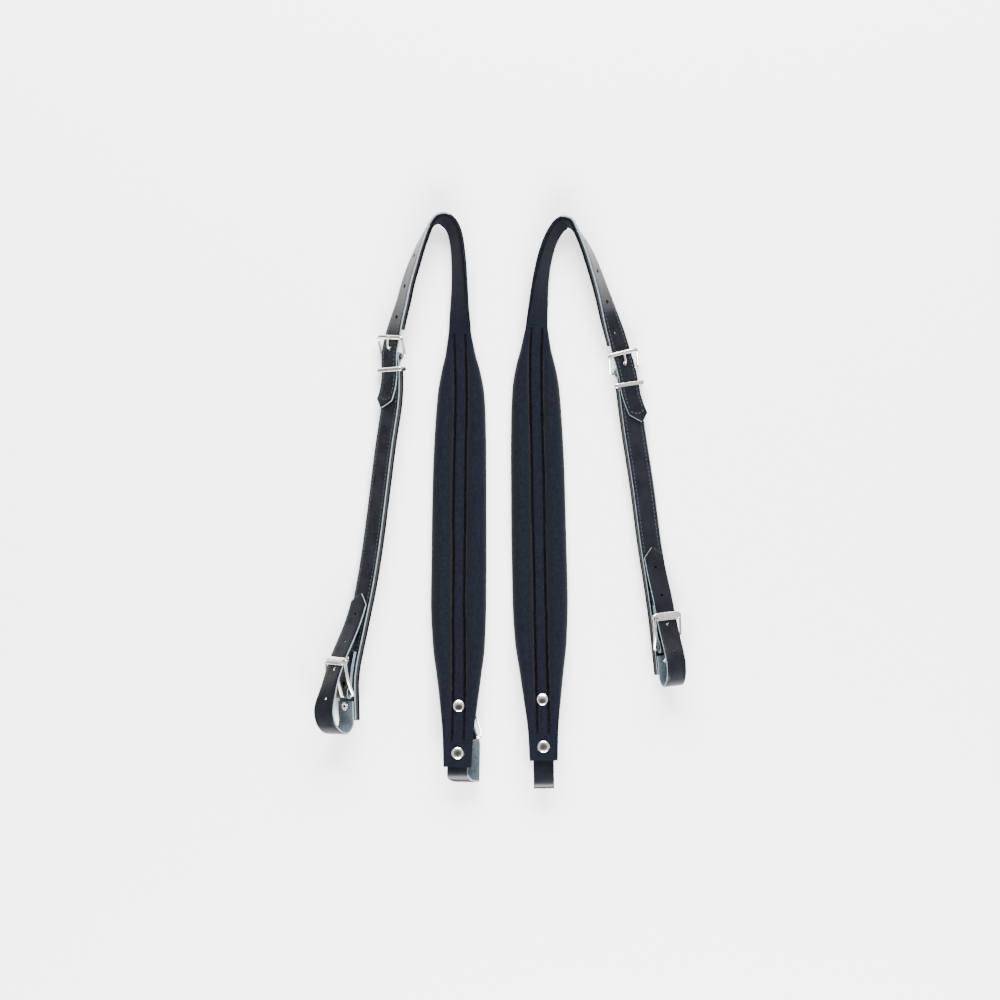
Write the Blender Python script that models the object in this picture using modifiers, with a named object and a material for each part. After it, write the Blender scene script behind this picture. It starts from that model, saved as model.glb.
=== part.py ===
"""A pair of padded accordion shoulder straps, lying on a flat surface.

Each strap is a long leather that carries a velvet covered pad, narrows, stands on its edge round
the top bend and comes back as a holed billet. The billet runs through the buckle of a shorter lower
strap. Both free ends carry a small leather loop that a little buckle of its own closes.

Metres, +Z up. Sizes are written in millimetres and scaled once, in point_of.
"""

import math

import bmesh
import bpy
import numpy as np
from mathutils import Matrix, Vector

# ---------------------------------------------------------------- driving dimensions, millimetres
MM = 0.001
GAP = 0.3  # between pieces that touch
BAR_GAP = 0.8  # round a hinge bar, where bent leather meets a straight rod

BILLET_WIDTH = 20.0
NARROW_LINING_WIDTH = 23.0
LOWER_LEATHER_WIDTH = 22.0
LOWER_LINING_WIDTH = 26.0
LEATHER = 2.2  # thickness of both straps' leather
LINING = 3.4  # velvet over a thin felt
VELVET = 1.2  # the pad's cover alone

PAD_LENGTH = 435.0  # from the strap's end to where the pad has run out
PAD_TAB = 32.0  # flat end of the pad, below the foam
PAD_FOOT = 75.0  # length over which the lobes rise above the tab
PAD_HEAD = 60.0  # length over which they sink into the narrow strap
LOBE_HEIGHT = 9.5
CHANNEL = 6.9  # half the flat channel between the lobes
HEM = 0.6  # how far the pad's velvet stands out past its leather

HOLE_PITCH = 32.0
HOLE_COUNT = 5
HOLE_RADIUS = 2.1
TIP_REACH = 60.0  # prong hole to the billet's point
POINT_LENGTH = 9.0

BUCKLE_WIDTH = 34.0
BUCKLE_LENGTH = 20.0  # heel bar to front bar, centre to centre
BUCKLE_WIRE = 3.0
HEEL_BEHIND_HOLE = 7.0
KEEPER_BEHIND_HOLE = 21.0
KEEPER_WIDTH = 33.0
KEEPER_BAND = 1.3
KEEPER_LENGTH = 4.0
TAIL = 11.0  # how far the turned leather runs back under the strap
PRONG = 1.9
PRONG_SLOT = 3.4  # half the slot that the prong passes through, in the turned leather
FRONT_BAR_EXTRA = 1.6  # the front bar is wider than the rest of the wire

END_STRIP_WIDTH = 20.5
END_STRIP = 2.0
END_STRIP_CUT = 19.0
END_STRIP_TIP = 128.0
END_HOLE_PITCH = 29.0
END_HOLE_RADIUS = 1.5
RIVET_NEAR = 14.0  # distances up from a strap's end
RIVET_FAR = 61.0
RIVET_SHANK = 1.6
RIVET_HEAD = 6.3
RIVET_DOME = 2.4
CLINCH_RADIUS = 4.3
CLINCH_HEIGHT = 1.2
CHAPE = 1.5
CHAPE_WIDTH = 17.0
CHAPE_CUT = 70.0
END_HEEL = 25.5
END_BUCKLE_WIDTH = 30.0
END_BAR = 3.0
END_FLANK = 2.4
END_BOW = 2.2  # how far the little buckle's flanks rise in their middle
STRIP_FIXED = 28.0  # length of the loop strip, from its cut end, that lies on the strap
PLATE_AT = 58.0
PLATE_LENGTH = 8.0
PLATE = 2.5
TONGUE = 1.1
TONGUE_WIDTH = 4.4
TONGUE_HOLE_AT = 50.5

# Heights across a strap, measured outward from the face that the two straps share.
OUTER = GAP / 2 + LEATHER  # the long leather's outer face
LOWER_FACE = -GAP / 2  # the lower leather's outer face
LINING_TOP = -(GAP / 2 + LEATHER + GAP)
LINING_BOTTOM = LINING_TOP - LINING
CHANNEL_TOP = -(GAP / 2 + GAP + VELVET)

# Half widths of the pad against the distance from its end.
PAD_OUTLINE = (
    (0, 14.0), (30, 15.2), (60, 18.5), (90, 22.2), (120, 26.0), (165, 27.8),
    (285, 27.0), (345, 25.3), (375, 23.3), (395, 19.8), (415, 14.8), (435, 11.6),
)

# Where each strap lies: x, y, bank in degrees and extra height. A bank of 90 has the velvet up,
# 0 stands on its edge and a negative one has the leather up. Both are laid out as a left strap.
LEFT_ROUTE = (
    (-42.5, -266, 90, 21.6), (-42.0, -236, 90, 19.6), (-41.3, -206, 90, 14.4), (-41.0, -175, 90, 8.4),
    (-41.2, -141, 90, 3.6), (-41.5, -101, 90, 0.6), (-41.1, -66, 90, 0.0), (-41.0, -40, 90, 0.0),
    (-40.5, 19, 90, 0.0), (-39.6, 70, 90, 0.0), (-39.0, 109, 90, 0.0), (-39.6, 145, 88, 0.0),
    (-40.0, 170, 72, 0.0), (-39.8, 195, 45, 0.0), (-39.8, 223, 34, 0.0), (-41.3, 249, 29, 0.0),
    (-43.8, 265, 28, 0.0), (-48.0, 275.2, 28, 0.0), (-54.0, 280.8, 27, 0.0), (-61.0, 281.8, 14, 0.0),
    (-67.5, 278.0, 0, 0.0), (-72.5, 269.8, -6, 0.0), (-79.8, 253.2, -15, 0.0), (-87.2, 233, -24, 0.0),
    (-93.0, 214.5, -28, 0.0), (-97.0, 198, -32, 0.0), (-102.0, 181, -39, 0.0), (-107.0, 161, -49, 0.8),
    (-109.6, 146, -51, 1.8), (-109.6, 127, -51, 2.4), (-110.0, 104, -51, 1.4), (-111.6, 89, -51, 0.4),
    (-114.6, 70, -51, 0.0), (-119.4, 35, -51, 0.0), (-123.7, 0, -51, 0.0), (-129.2, -42.5, -51, 0.0),
    (-137.1, -91, -51, 0.0), (-140.7, -109, -50, 0.0), (-147.0, -140, -48.5, 0.0),
    (-151.9, -165, -48, 0.0), (-153.6, -182, -48, 0.0), (-153.3, -200, -48, 0.0),
    (-152.8, -220, -48, 0.0),
)
RIGHT_ROUTE = (
    (-43.5, -259.6, 90, 21.6), (-43.0, -230, 90, 19.6), (-42.3, -200, 90, 14.4), (-41.6, -169, 90, 8.4),
    (-40.8, -135, 90, 3.6), (-40.2, -95, 90, 0.6), (-39.6, -66, 90, 0.0), (-39.0, -41, 90, 0.0),
    (-38.0, 19, 90, 0.0), (-36.6, 79, 90, 0.0), (-36.0, 109, 90, 0.0), (-35.8, 145, 88, 0.0),
    (-36.4, 170, 72, 0.0), (-37.8, 195, 50, 0.0), (-40.4, 223, 36, 0.0), (-45.2, 247, 30, 0.0),
    (-49.6, 260, 28, 0.0), (-55.4, 270.6, 28, 0.0), (-63.0, 277.7, 27, 0.0), (-69.0, 278.0, 14, 0.0),
    (-74.5, 273.0, 0, 0.0), (-79.0, 265.6, -6, 0.0), (-85.0, 254.5, -15, 0.0), (-92.0, 238, -24, 0.0),
    (-98.6, 219, -30, 0.0), (-106.0, 196, -42, 0.0), (-110.6, 181, -53, 0.4), (-115.4, 166, -64, 1.0),
    (-120.4, 149, -69, 1.7), (-124.6, 135, -70, 2.1), (-128.8, 115, -70, 2.1), (-131.2, 98, -70, 1.2),
    (-134.2, 75, -70, 0.3), (-138.2, 49, -70, 0.0), (-145.4, 0, -70, 0.0), (-150.9, -42.5, -70, 0.0),
    (-156.3, -77, -70, 0.0), (-159.3, -97, -70, 0.0), (-161.8, -115, -70, 0.0),
    (-165.0, -143, -70, 0.0), (-166.8, -161, -70, 0.0), (-168.0, -174, -70, 0.0),
)

# Each strap: its route, the distance along it to the hole in use, how far the billet's tip has
# swung outward, and for each end how high the loop stands, how high it is at the plate, how far
# its nose reaches past the strap, how far the little buckle is swivelled about its rivet, and how
# far the loop's outer run is twisted towards the viewer.
STRAPS = {
    "left": dict(route=LEFT_ROUTE, hole_in_use=702.0, swing=7.5,
                 pad_end=(19.5, 9.6, 14.0, 18.0, 0.0), lower_end=(32.4, 16.4, 12.0, 0.0, 22.0)),
    "right": dict(route=RIGHT_ROUTE, hole_in_use=705.6, swing=8.0,
                  pad_end=(19.5, 9.6, 27.0, 0.0, 0.0), lower_end=(23.5, 10.6, 11.0, 0.0, 0.0)),
}

FINISHES = {
    "leather": ((0.012, 0.013, 0.016), 0.42, 0.0),
    "velvet": ((0.010, 0.012, 0.020), 0.95, 0.0),
    "foam": ((0.35, 0.34, 0.30), 0.9, 0.0),
    "nickel": ((0.78, 0.76, 0.72), 0.22, 1.0),
}


# ---------------------------------------------------------------- scene
def clear_scene():
    for thing in list(bpy.data.objects):
        bpy.data.objects.remove(thing, do_unlink=True)


def new_collection(name):
    made = bpy.data.collections.new(name)
    bpy.context.scene.collection.children.link(made)
    return made


def finish_of(name, kind):
    colour, roughness, metallic = FINISHES[kind]
    made = bpy.data.materials.new(name)
    made.use_nodes = True
    shader = made.node_tree.nodes["Principled BSDF"]
    shader.inputs["Base Color"].default_value = (*colour, 1.0)
    shader.inputs["Roughness"].default_value = roughness
    shader.inputs["Metallic"].default_value = metallic
    return made


def point_of(values):
    return tuple(float(value) * MM for value in values)


# ---------------------------------------------------------------- curves through chosen points
def smooth(where, values, wanted):
    """A natural cubic spline through values at where, read at wanted."""
    where, values = np.asarray(where, float), np.asarray(values, float)
    count, step = len(where), np.diff(where)
    slope = np.diff(values) / step
    matrix, right = np.eye(count), np.zeros(count)
    for i in range(1, count - 1):
        matrix[i, i - 1 : i + 2] = step[i - 1], 2 * (step[i - 1] + step[i]), step[i]
        right[i] = 6 * (slope[i] - slope[i - 1])
    bend = np.linalg.solve(matrix, right)
    index = np.clip(np.searchsorted(where, wanted) - 1, 0, count - 2)
    before, after, width = wanted - where[index], where[index + 1] - wanted, step[index]
    return (
        (bend[index] * after**3 + bend[index + 1] * before**3) / (6 * width)
        + (values[index] / width - bend[index] * width / 6) * after
        + (values[index + 1] / width - bend[index + 1] * width / 6) * before
    )


def steady(where, values, wanted):
    """A curve through values that never swings past them, so that level stretches stay level."""
    where, values = np.asarray(where, float), np.asarray(values, float)
    step = np.diff(where)
    slope = np.diff(values) / step
    lean = np.concatenate([[slope[0]], np.zeros(len(slope) - 1), [slope[-1]]])
    for i in range(1, len(slope)):
        if slope[i - 1] * slope[i] > 0:
            near, far = 2 * step[i] + step[i - 1], step[i] + 2 * step[i - 1]
            lean[i] = (near + far) / (near / slope[i - 1] + far / slope[i])
    index = np.clip(np.searchsorted(where, wanted) - 1, 0, len(step) - 1)
    width = step[index]
    t = (wanted - where[index]) / width
    return (
        values[index] * (2 * t**3 - 3 * t**2 + 1) + lean[index] * width * (t**3 - 2 * t**2 + t)
        + values[index + 1] * (3 * t**2 - 2 * t**3) + lean[index + 1] * width * (t**3 - t**2)
    )


def steep(share):
    """A share from 0 to 1, eased at both ends."""
    return share * share * (3 - 2 * share)


def along(points, spacing):
    """Points about spacing apart on a smooth curve through the given plane points."""
    points = np.asarray(points, float)
    chord = np.concatenate([[0], np.cumsum(np.linalg.norm(np.diff(points, axis=0), axis=1))])
    wanted = np.linspace(0, chord[-1], max(2, int(round(chord[-1] / spacing)) + 1))
    return np.column_stack([smooth(chord, points[:, k], wanted) for k in range(points.shape[1])])


class Route:
    """The face that a strap's layers share, with its frame at each distance along it."""

    FINE = 2400

    def __init__(self, knots):
        knots = np.array(knots, float)
        bank = np.radians(knots[:, 2])
        edge = LOWER_LINING_WIDTH / 2 * np.cos(bank)
        under = OUTER * np.maximum(0, np.sin(bank)) - LINING_BOTTOM * np.maximum(0, -np.sin(bank))
        spots = np.column_stack([knots[:, :2], knots[:, 3] + edge + under])
        chord = np.concatenate([[0], np.cumsum(np.linalg.norm(np.diff(spots, axis=0), axis=1))])
        fine = np.linspace(0, chord[-1], self.FINE)
        self.path = np.column_stack(
            [smooth(chord, spots[:, 0], fine), smooth(chord, spots[:, 1], fine),
             steady(chord, spots[:, 2], fine)]
        )
        self.bank = steady(chord, bank, fine)
        self.distance = np.concatenate(
            [[0], np.cumsum(np.linalg.norm(np.diff(self.path, axis=0), axis=1))]
        )
        self.length = float(self.distance[-1])

    def frame(self, distance):
        """Place, direction, width direction and outward direction."""
        inside = min(max(distance, 0.0), self.length)
        spot = np.array([np.interp(inside, self.distance, self.path[:, k]) for k in range(3)])
        reach = 1.5
        low, high = max(inside - reach, 0.0), min(inside + reach, self.length)
        ends = [
            np.array([np.interp(d, self.distance, self.path[:, k]) for k in range(3)])
            for d in (low, high)
        ]
        direction = (ends[1] - ends[0]) / np.linalg.norm(ends[1] - ends[0])
        bank = float(np.interp(inside, self.distance, self.bank))
        inner = np.cross((0, 0, 1), direction)
        inner /= np.linalg.norm(inner)
        upper = np.cross(direction, inner)
        width = -math.sin(bank) * inner + math.cos(bank) * upper
        outward = -math.cos(bank) * inner - math.sin(bank) * upper
        return spot + direction * (distance - inside), direction, width, outward

    def point(self, distance, across, height):
        spot, _, width, outward = self.frame(distance)
        return spot + width * across + outward * height


# ---------------------------------------------------------------- meshes
def object_of(name, mesh, kind, home, parent=None):
    made = bpy.data.objects.new(name, mesh)
    mesh.materials.append(finish_of(name + "_finish", kind))
    home.objects.link(made)
    made.parent = parent
    mesh.shade_smooth()
    mesh.set_sharp_from_angle(angle=math.radians(40))
    return made


def mesh_of(name, points, faces):
    mesh = bpy.data.meshes.new(name)
    mesh.from_pydata([point_of(point) for point in points], [], faces)
    shape = bmesh.new()
    shape.from_mesh(mesh)
    bmesh.ops.recalc_face_normals(shape, faces=shape.faces)
    if shape.calc_volume(signed=True) < 0:
        bmesh.ops.reverse_faces(shape, faces=shape.faces)
    shape.to_mesh(mesh)
    shape.free()
    return mesh


def ribbon(name, sections):
    """A closed body from sections, each a row of upper points and a row of lower points."""
    rows = len(sections[0][0])
    points = [point for section in sections for row in section for point in row]
    quads = []
    for i in range(len(sections) - 1):
        near, far = 2 * rows * i, 2 * rows * (i + 1)
        for j in range(rows - 1):
            low = rows + j
            quads.append((near + j, near + j + 1, far + j + 1, far + j))
            quads.append((near + low, far + low, far + low + 1, near + low + 1))
        quads.append((near, far, far + rows, near + rows))
        quads.append((near + rows - 1, near + 2 * rows - 1, far + 2 * rows - 1, far + rows - 1))
    last = 2 * rows * (len(sections) - 1)
    for j in range(rows - 1):
        quads.append((j, rows + j, rows + j + 1, j + 1))
        quads.append((last + j, last + j + 1, last + rows + j + 1, last + rows + j))
    # Twisted quads are split here, all the same way, so that neighbours' facets agree.
    faces = [face for a, b, c, d in quads for face in ((a, b, c), (a, c, d))]
    return mesh_of(name, points, faces)


def ring(name, rows):
    """A closed ring from rows of points, each the outline of its section."""
    count = len(rows[0])
    points = [point for row in rows for point in row]
    faces = []
    for i in range(len(rows)):
        near, far = count * i, count * ((i + 1) % len(rows))
        for j in range(count):
            faces.append((near + j, near + (j + 1) % count, far + (j + 1) % count, far + j))
    return mesh_of(name, points, faces)


def rounded_frame(half_width, low, high, corner, wires, bow=0.0, tilt=0.0):
    """Rows of a rectangular ring in its own plane: x across, y from low to high, z out of it.

    wires holds, for the low side, the flanks and the high side, the width in the plane and the
    thickness out of it. bow lifts the flanks' middle and tilt turns the high side on its length.
    """
    turns = [math.radians(a) for a in (20, 70)]
    near = [(half_width - corner * (1 - math.sin(a)), low + corner * (1 - math.cos(a))) for a in turns]
    far = [(half_width - corner * (1 - math.cos(a)), high - corner * (1 - math.sin(a))) for a in turns]
    between = [(half_width, low + (high - low) * share) for share in (0.3, 0.5, 0.7)]
    half = [(0, low)] + near + (between if bow else between[1:2]) + far + [(0, high)]
    path = np.array(half + [(-x, y) for x, y in half[-2:0:-1]], float)
    rows = []
    for i, (x, y) in enumerate(path):
        ahead = path[(i + 1) % len(path)] - path[i - 1]
        ahead /= np.linalg.norm(ahead)
        share = min(max((y - low) / (high - low), 0.0), 1.0)
        flat = abs(ahead[0])
        ends = wires[0] if share < 0.5 else wires[2]
        wide, thick = (wires[1][k] * (1 - flat) + ends[k] * flat for k in range(2))
        turned = tilt * flat if share > 0.5 else 0.0
        grow = 1 / math.cos(math.pi / 8)
        row = []
        for k in range(8):
            angle = math.radians(22.5 + 45 * k)
            out, up = wide / 2 * math.cos(angle) * grow, thick / 2 * math.sin(angle) * grow
            side, forth = out * ahead[1], -out * ahead[0]
            row.append((
                x + side,
                y + forth * math.cos(turned) - up * math.sin(turned),
                forth * math.sin(turned) + up * math.cos(turned) + bow * math.sin(math.pi * share),
            ))
        rows.append(row)
    return rows


def bent_strip(place, path, thickness, half_widths, across=(-1.0, 1.0)):
    """Sections of a strip whose centre follows path, in a plane that place maps to space."""
    path = np.asarray(path, float)
    ahead = np.gradient(path, axis=0)
    ahead /= np.linalg.norm(ahead, axis=1)[:, None]
    normal = np.column_stack([-ahead[:, 1], ahead[:, 0]])
    sections = []
    for spot, out, half in zip(path, normal, half_widths):
        high, low = spot + out * thickness / 2, spot - out * thickness / 2
        sections.append(
            ([place(high[0], half * u, high[1]) for u in across],
             [place(low[0], half * u, low[1]) for u in across])
        )
    return sections


# ---------------------------------------------------------------- holes
def cylinder_between(shape, low, high, radius, sides=12):
    low, high = Vector(point_of(low)), Vector(point_of(high))
    turn = Vector((0, 0, 1)).rotation_difference(high - low).to_matrix().to_4x4()
    bmesh.ops.create_cone(
        shape, cap_ends=True, segments=sides, radius1=radius * MM, radius2=radius * MM,
        depth=(high - low).length, matrix=Matrix.Translation((low + high) / 2) @ turn,
    )


def block_between(shape, corners):
    """A closed block from eight corners, the lower four first, both fours in the same turn."""
    points = [shape.verts.new(point_of(corner)) for corner in corners]
    for face in ((0, 3, 2, 1), (4, 5, 6, 7), (0, 1, 5, 4), (1, 2, 6, 5), (2, 3, 7, 6), (3, 0, 4, 7)):
        shape.faces.new([points[k] for k in face])


def cut(piece, shape, home, parent):
    """Takes everything in shape out of piece."""
    bmesh.ops.recalc_face_normals(shape, faces=shape.faces)
    mesh = bpy.data.meshes.new(piece.name + "_cutter")
    shape.to_mesh(mesh)
    shape.free()
    cutter = bpy.data.objects.new(piece.name + "_cutter", mesh)
    home.objects.link(cutter)
    cutter.parent = parent
    cutter.hide_render = True
    cutter.display_type = "WIRE"
    modifier = piece.modifiers.new("holes", "BOOLEAN")
    modifier.operation = "DIFFERENCE"
    modifier.object = cutter


def rivet(name, spot, outward, levels, home, parent):
    """A domed head below, a shank, and a spread clinch above; levels run along outward."""
    dome_base, clinch_base = levels
    profile = [
        (0.0, clinch_base + CLINCH_HEIGHT), (CLINCH_RADIUS * 0.8, clinch_base + CLINCH_HEIGHT),
        (CLINCH_RADIUS, clinch_base + CLINCH_HEIGHT * 0.4), (CLINCH_RADIUS, clinch_base),
        (RIVET_SHANK, clinch_base), (RIVET_SHANK, dome_base), (RIVET_HEAD, dome_base),
        (RIVET_HEAD * 0.93, dome_base - RIVET_DOME * 0.5),
        (RIVET_HEAD * 0.62, dome_base - RIVET_DOME * 0.88), (0.0, dome_base - RIVET_DOME),
    ]
    mesh = bpy.data.meshes.new(name)
    mesh.from_pydata(
        [point_of((x, 0, z)) for x, z in profile], [(k, k + 1) for k in range(len(profile) - 1)], []
    )
    made = object_of(name, mesh, "nickel", home, parent)
    screw = made.modifiers.new("turned", "SCREW")
    screw.axis = "Z"
    screw.steps = screw.render_steps = 10
    screw.use_merge_vertices = True
    screw.merge_threshold = 0.00001
    made.location = point_of(spot)
    made.rotation_mode = "QUATERNION"
    made.rotation_quaternion = Vector((0, 0, 1)).rotation_difference(Vector(outward))
    return made


# ---------------------------------------------------------------- one strap
class Strap:
    def __init__(self, side, plan, parts, cutters):
        self.side, self.plan = side, plan
        self.parts, self.cutters = parts, cutters
        self.route = Route(plan["route"])
        self.hole = plan["hole_in_use"]
        self.heel = self.hole + HEEL_BEHIND_HOLE
        self.tip = self.hole + TIP_REACH
        self.lining_end = self.hole - BUCKLE_LENGTH + HEEL_BEHIND_HOLE - 8.0
        self.stations = self.shared_stations()
        self.home = bpy.data.objects.new(side + "_strap_frame", None)
        parts.objects.link(self.home)
        if side == "right":
            self.home.scale.x = -1

    def name(self, piece):
        return self.side + "_" + piece

    def piece(self, name, mesh, kind):
        return object_of(self.name(name), mesh, kind, self.parts, self.home)

    def shared_stations(self):
        """Layers that lie on each other use the same distances, so that their facets agree."""
        route = self.route
        spots, here = [0.0], 0.0
        while here < route.length:
            bend = abs(np.interp(here + 8, route.distance, route.bank)
                       - np.interp(here, route.distance, route.bank))
            turn = 1 - float(np.dot(route.frame(here)[1], route.frame(here + 8)[1]))
            sharp = bend + math.sqrt(max(turn, 0))
            here += 24.0 if sharp < 0.012 else 15.0 if sharp < 0.03 else 10.0 if sharp < 0.12 else 7.0
            spots.append(here)
        return np.array(spots[:-1])

    def between(self, start, end, extra=()):
        inner = [s for s in self.stations if start + 2.5 < s < end - 2.5]
        inner = [s for s in inner if all(abs(s - e) > 2.5 for e in extra)]
        return np.array(sorted([start, end, *inner, *extra]))

    def flat_layer(self, distances, half_widths, high, low, shift=None, columns=(-1, 0, 1)):
        sections = []
        for k, (distance, half) in enumerate(zip(distances, half_widths)):
            side, lift = shift[k] if shift is not None else (0.0, 0.0)
            sections.append(tuple(
                [self.route.point(distance, half * u + side, level + lift) for u in columns]
                for level in (high, low)
            ))
        return sections

    # ---- the long leather, its lining and the pad
    def pad_half(self, distance):
        outline = np.array(PAD_OUTLINE, float)
        return np.interp(distance, outline[:, 0] * PAD_LENGTH / outline[-1, 0], outline[:, 1])

    def leather_half(self, distance):
        billet = BILLET_WIDTH / 2
        taper = min((distance - PAD_LENGTH) / PAD_HEAD, 1.0)
        start = self.pad_half(PAD_LENGTH) - HEM
        wide = start + (billet - start) * taper if taper > 0 else self.pad_half(distance) - HEM
        left = self.tip - distance
        return max(min(wide, billet * left / POINT_LENGTH + 0.8), 0.8) if left < POINT_LENGTH else wide

    def long_leather(self):
        extra = (self.tip - POINT_LENGTH, PAD_LENGTH, PAD_LENGTH + 1.0, self.lining_end)
        distances = self.between(0.0, self.tip, extra)
        keeper = self.hole + KEEPER_BEHIND_HOLE
        shift = []
        for distance in distances:
            swung = max(distance - keeper - 4.0, 0.0) / (self.tip - keeper - 4.0)
            shift.append((-self.plan["swing"] * swung**1.6, 1.6 * swung**2))
        halves = [self.leather_half(d) for d in distances]
        made = self.piece("long_leather", ribbon(
            self.name("long_leather"), self.flat_layer(distances, halves, OUTER, GAP / 2, shift)
        ), "leather")
        shape = bmesh.new()
        for number in range(HOLE_COUNT):
            self.punch(shape, self.hole - number * HOLE_PITCH, HOLE_RADIUS, -6, 6)
        for distance in (RIVET_NEAR, RIVET_FAR):
            self.punch(shape, distance, RIVET_SHANK + GAP, -6, 6)
        cut(made, shape, self.cutters, self.home)

    def upper_lining(self):
        distances = self.between(PAD_LENGTH + 1.0, self.lining_end)
        halves = [NARROW_LINING_WIDTH / 2] * len(distances)
        sections = self.flat_layer(distances, halves, -GAP / 2, -GAP / 2 - LINING)
        made = self.piece("upper_lining", ribbon(self.name("upper_lining"), sections), "velvet")
        shape = bmesh.new()
        for number in range(1, HOLE_COUNT):
            self.punch(shape, self.hole - number * HOLE_PITCH, HOLE_RADIUS, -6, 3)
        cut(made, shape, self.cutters, self.home)

    def punch(self, shape, distance, radius, low, high, across=0.0):
        cylinder_between(
            shape, self.route.point(distance, across, low), self.route.point(distance, across, high),
            radius, 10,
        )

    def lobe_height(self, distance):
        near = np.clip((distance - PAD_TAB) / PAD_FOOT, 0, 1)
        far = np.clip((PAD_LENGTH + 1.0 - distance) / PAD_HEAD, 0, 1)
        return LOBE_HEIGHT * min(math.sin(near * math.pi / 2), math.sin(far * math.pi / 2))

    LOBE_SPOTS = (0.0, 0.08, 0.26, 0.52, 0.78, 0.93, 1.0)

    def pad_profile(self, distance):
        """Across and height above the leather of the cover's top, over one lobe."""
        half = self.pad_half(distance)
        inner = min(CHANNEL, half - 3.0)
        rise = self.lobe_height(distance)
        return [
            (inner + (half - inner) * t, -CHANNEL_TOP - GAP / 2 + rise * (4 * t * (1 - t)) ** 0.6)
            for t in self.LOBE_SPOTS
        ]

    def pad(self):
        base = -GAP / 2
        distances = self.between(0.0, PAD_LENGTH, (PAD_TAB + 4.0,))
        cover, lobes = [], {"inner": [], "outer": []}
        for distance in distances:
            profile = self.pad_profile(distance)
            across = [-u for u, _ in profile[::-1]] + [u for u, _ in profile]
            tops = [h for _, h in profile[::-1]] + [h for _, h in profile]
            cover.append((
                [self.route.point(distance, u, base - h) for u, h in zip(across, tops)],
                [self.route.point(distance, u, base - max(h - VELVET, GAP))
                 for u, h in zip(across, tops)],
            ))
            if PAD_TAB + 3 < distance < PAD_LENGTH - 8:
                for side, sign in (("inner", -1), ("outer", 1)):
                    inside = [(sign * u, h - VELVET - 2 * GAP) for u, h in profile[1:-1]]
                    lobes[side].append((
                        [self.route.point(distance, u, base - h) for u, h in inside],
                        [self.route.point(distance, u, base - GAP) for u, h in inside],
                    ))
        made = self.piece("pad_velvet", ribbon(self.name("pad_velvet"), cover), "velvet")
        shape = bmesh.new()
        for distance in (RIVET_NEAR, RIVET_FAR):
            self.punch(shape, distance, RIVET_SHANK + GAP, -8, 3)
        cut(made, shape, self.cutters, self.home)
        for side, sections in lobes.items():
            name = "pad_foam_" + side
            self.piece(name, ribbon(self.name(name), sections), "foam")

    # ---- the lower strap, whose leather turns round the heel bar
    def heel_height(self):
        return LOWER_FACE - LEATHER - BAR_GAP - BUCKLE_WIRE / 2

    def lower_leather(self):
        bar = self.heel_height()
        turn = BUCKLE_WIRE / 2 + BAR_GAP + LEATHER / 2
        level = LOWER_FACE - LEATHER / 2
        tail = level - LEATHER - GAP
        bow = [
            (self.heel - turn * math.sin(math.radians(a)), bar - turn * math.cos(math.radians(a)))
            for a in range(-10, 171, 20)
        ]
        under = [(self.heel + TAIL, tail), (self.heel + 6.5, tail - 0.5)]
        over = [(self.heel + 3.0, level)]
        fold = np.array(under + bow + over)
        rest = self.between(self.heel + 9.0, self.route.length)
        path = np.vstack([fold, np.column_stack([rest, np.full(len(rest), level)])])
        halves = np.full(len(path), LOWER_LEATHER_WIDTH / 2)
        halves[: len(fold) - 1] = BILLET_WIDTH / 2
        sections = bent_strip(lambda d, u, h: self.route.point(d, u, h), path, LEATHER, halves)
        made = self.piece("lower_leather", ribbon(self.name("lower_leather"), sections), "leather")
        shape = bmesh.new()
        before, behind = self.heel - 9, self.heel + 4.5
        lows = [(before, -PRONG_SLOT), (behind, -PRONG_SLOT), (behind, PRONG_SLOT), (before, PRONG_SLOT)]
        block_between(shape, [self.route.point(d, u, bar - 7.0) for d, u in lows]
                      + [self.route.point(d, u, 2.0) for d, u in lows])
        for distance in (RIVET_NEAR, RIVET_FAR):
            self.punch(shape, self.route.length - distance, RIVET_SHANK + GAP, -9, 3)
        cut(made, shape, self.cutters, self.home)

    def lower_lining(self):
        distances = self.between(self.heel + TAIL + 3.0, self.route.length)
        halves = [LOWER_LINING_WIDTH / 2] * len(distances)
        sections = self.flat_layer(distances, halves, LINING_TOP, LINING_BOTTOM, columns=(-1, 1))
        made = self.piece("lower_lining", ribbon(self.name("lower_lining"), sections), "velvet")
        shape = bmesh.new()
        for distance in (RIVET_NEAR, RIVET_FAR):
            self.punch(shape, self.route.length - distance, RIVET_SHANK + GAP, -12, 3)
        cut(made, shape, self.cutters, self.home)

    # ---- the main buckle
    def rigid(self, origin, along_point, width_point):
        """Own axes of a rigid piece: across, along and out of its plane."""
        along_axis = along_point - origin
        along_axis /= np.linalg.norm(along_axis)
        across = width_point - origin
        across -= along_axis * np.dot(across, along_axis)
        across /= np.linalg.norm(across)
        return origin, across, along_axis, np.cross(across, along_axis)

    def seat(self, axes, x, y, z):
        origin, across, along_axis, out = axes
        return origin + across * x + along_axis * y + out * z

    def main_axes(self):
        bar = self.heel_height()
        front = OUTER + BAR_GAP + 0.3 + BUCKLE_WIRE / 2
        reach = math.sqrt(BUCKLE_LENGTH**2 - (front - bar) ** 2)
        origin = self.route.point(self.heel, 0, bar)
        ahead = self.route.point(self.heel - reach, 0, front)
        return self.rigid(origin, ahead, self.route.point(self.heel, 1, bar))

    def local(self, axes, spot):
        origin, across, along_axis, out = axes
        gone = spot - origin
        return float(gone @ along_axis), float(gone @ out)

    def hinged(self, made, axes):
        """Moves the piece's origin onto its hinge, leaving its shape where it is."""
        spot = Vector(point_of(axes[0]))
        made.data.transform(Matrix.Translation(-spot))
        made.location = spot
        return made

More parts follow.
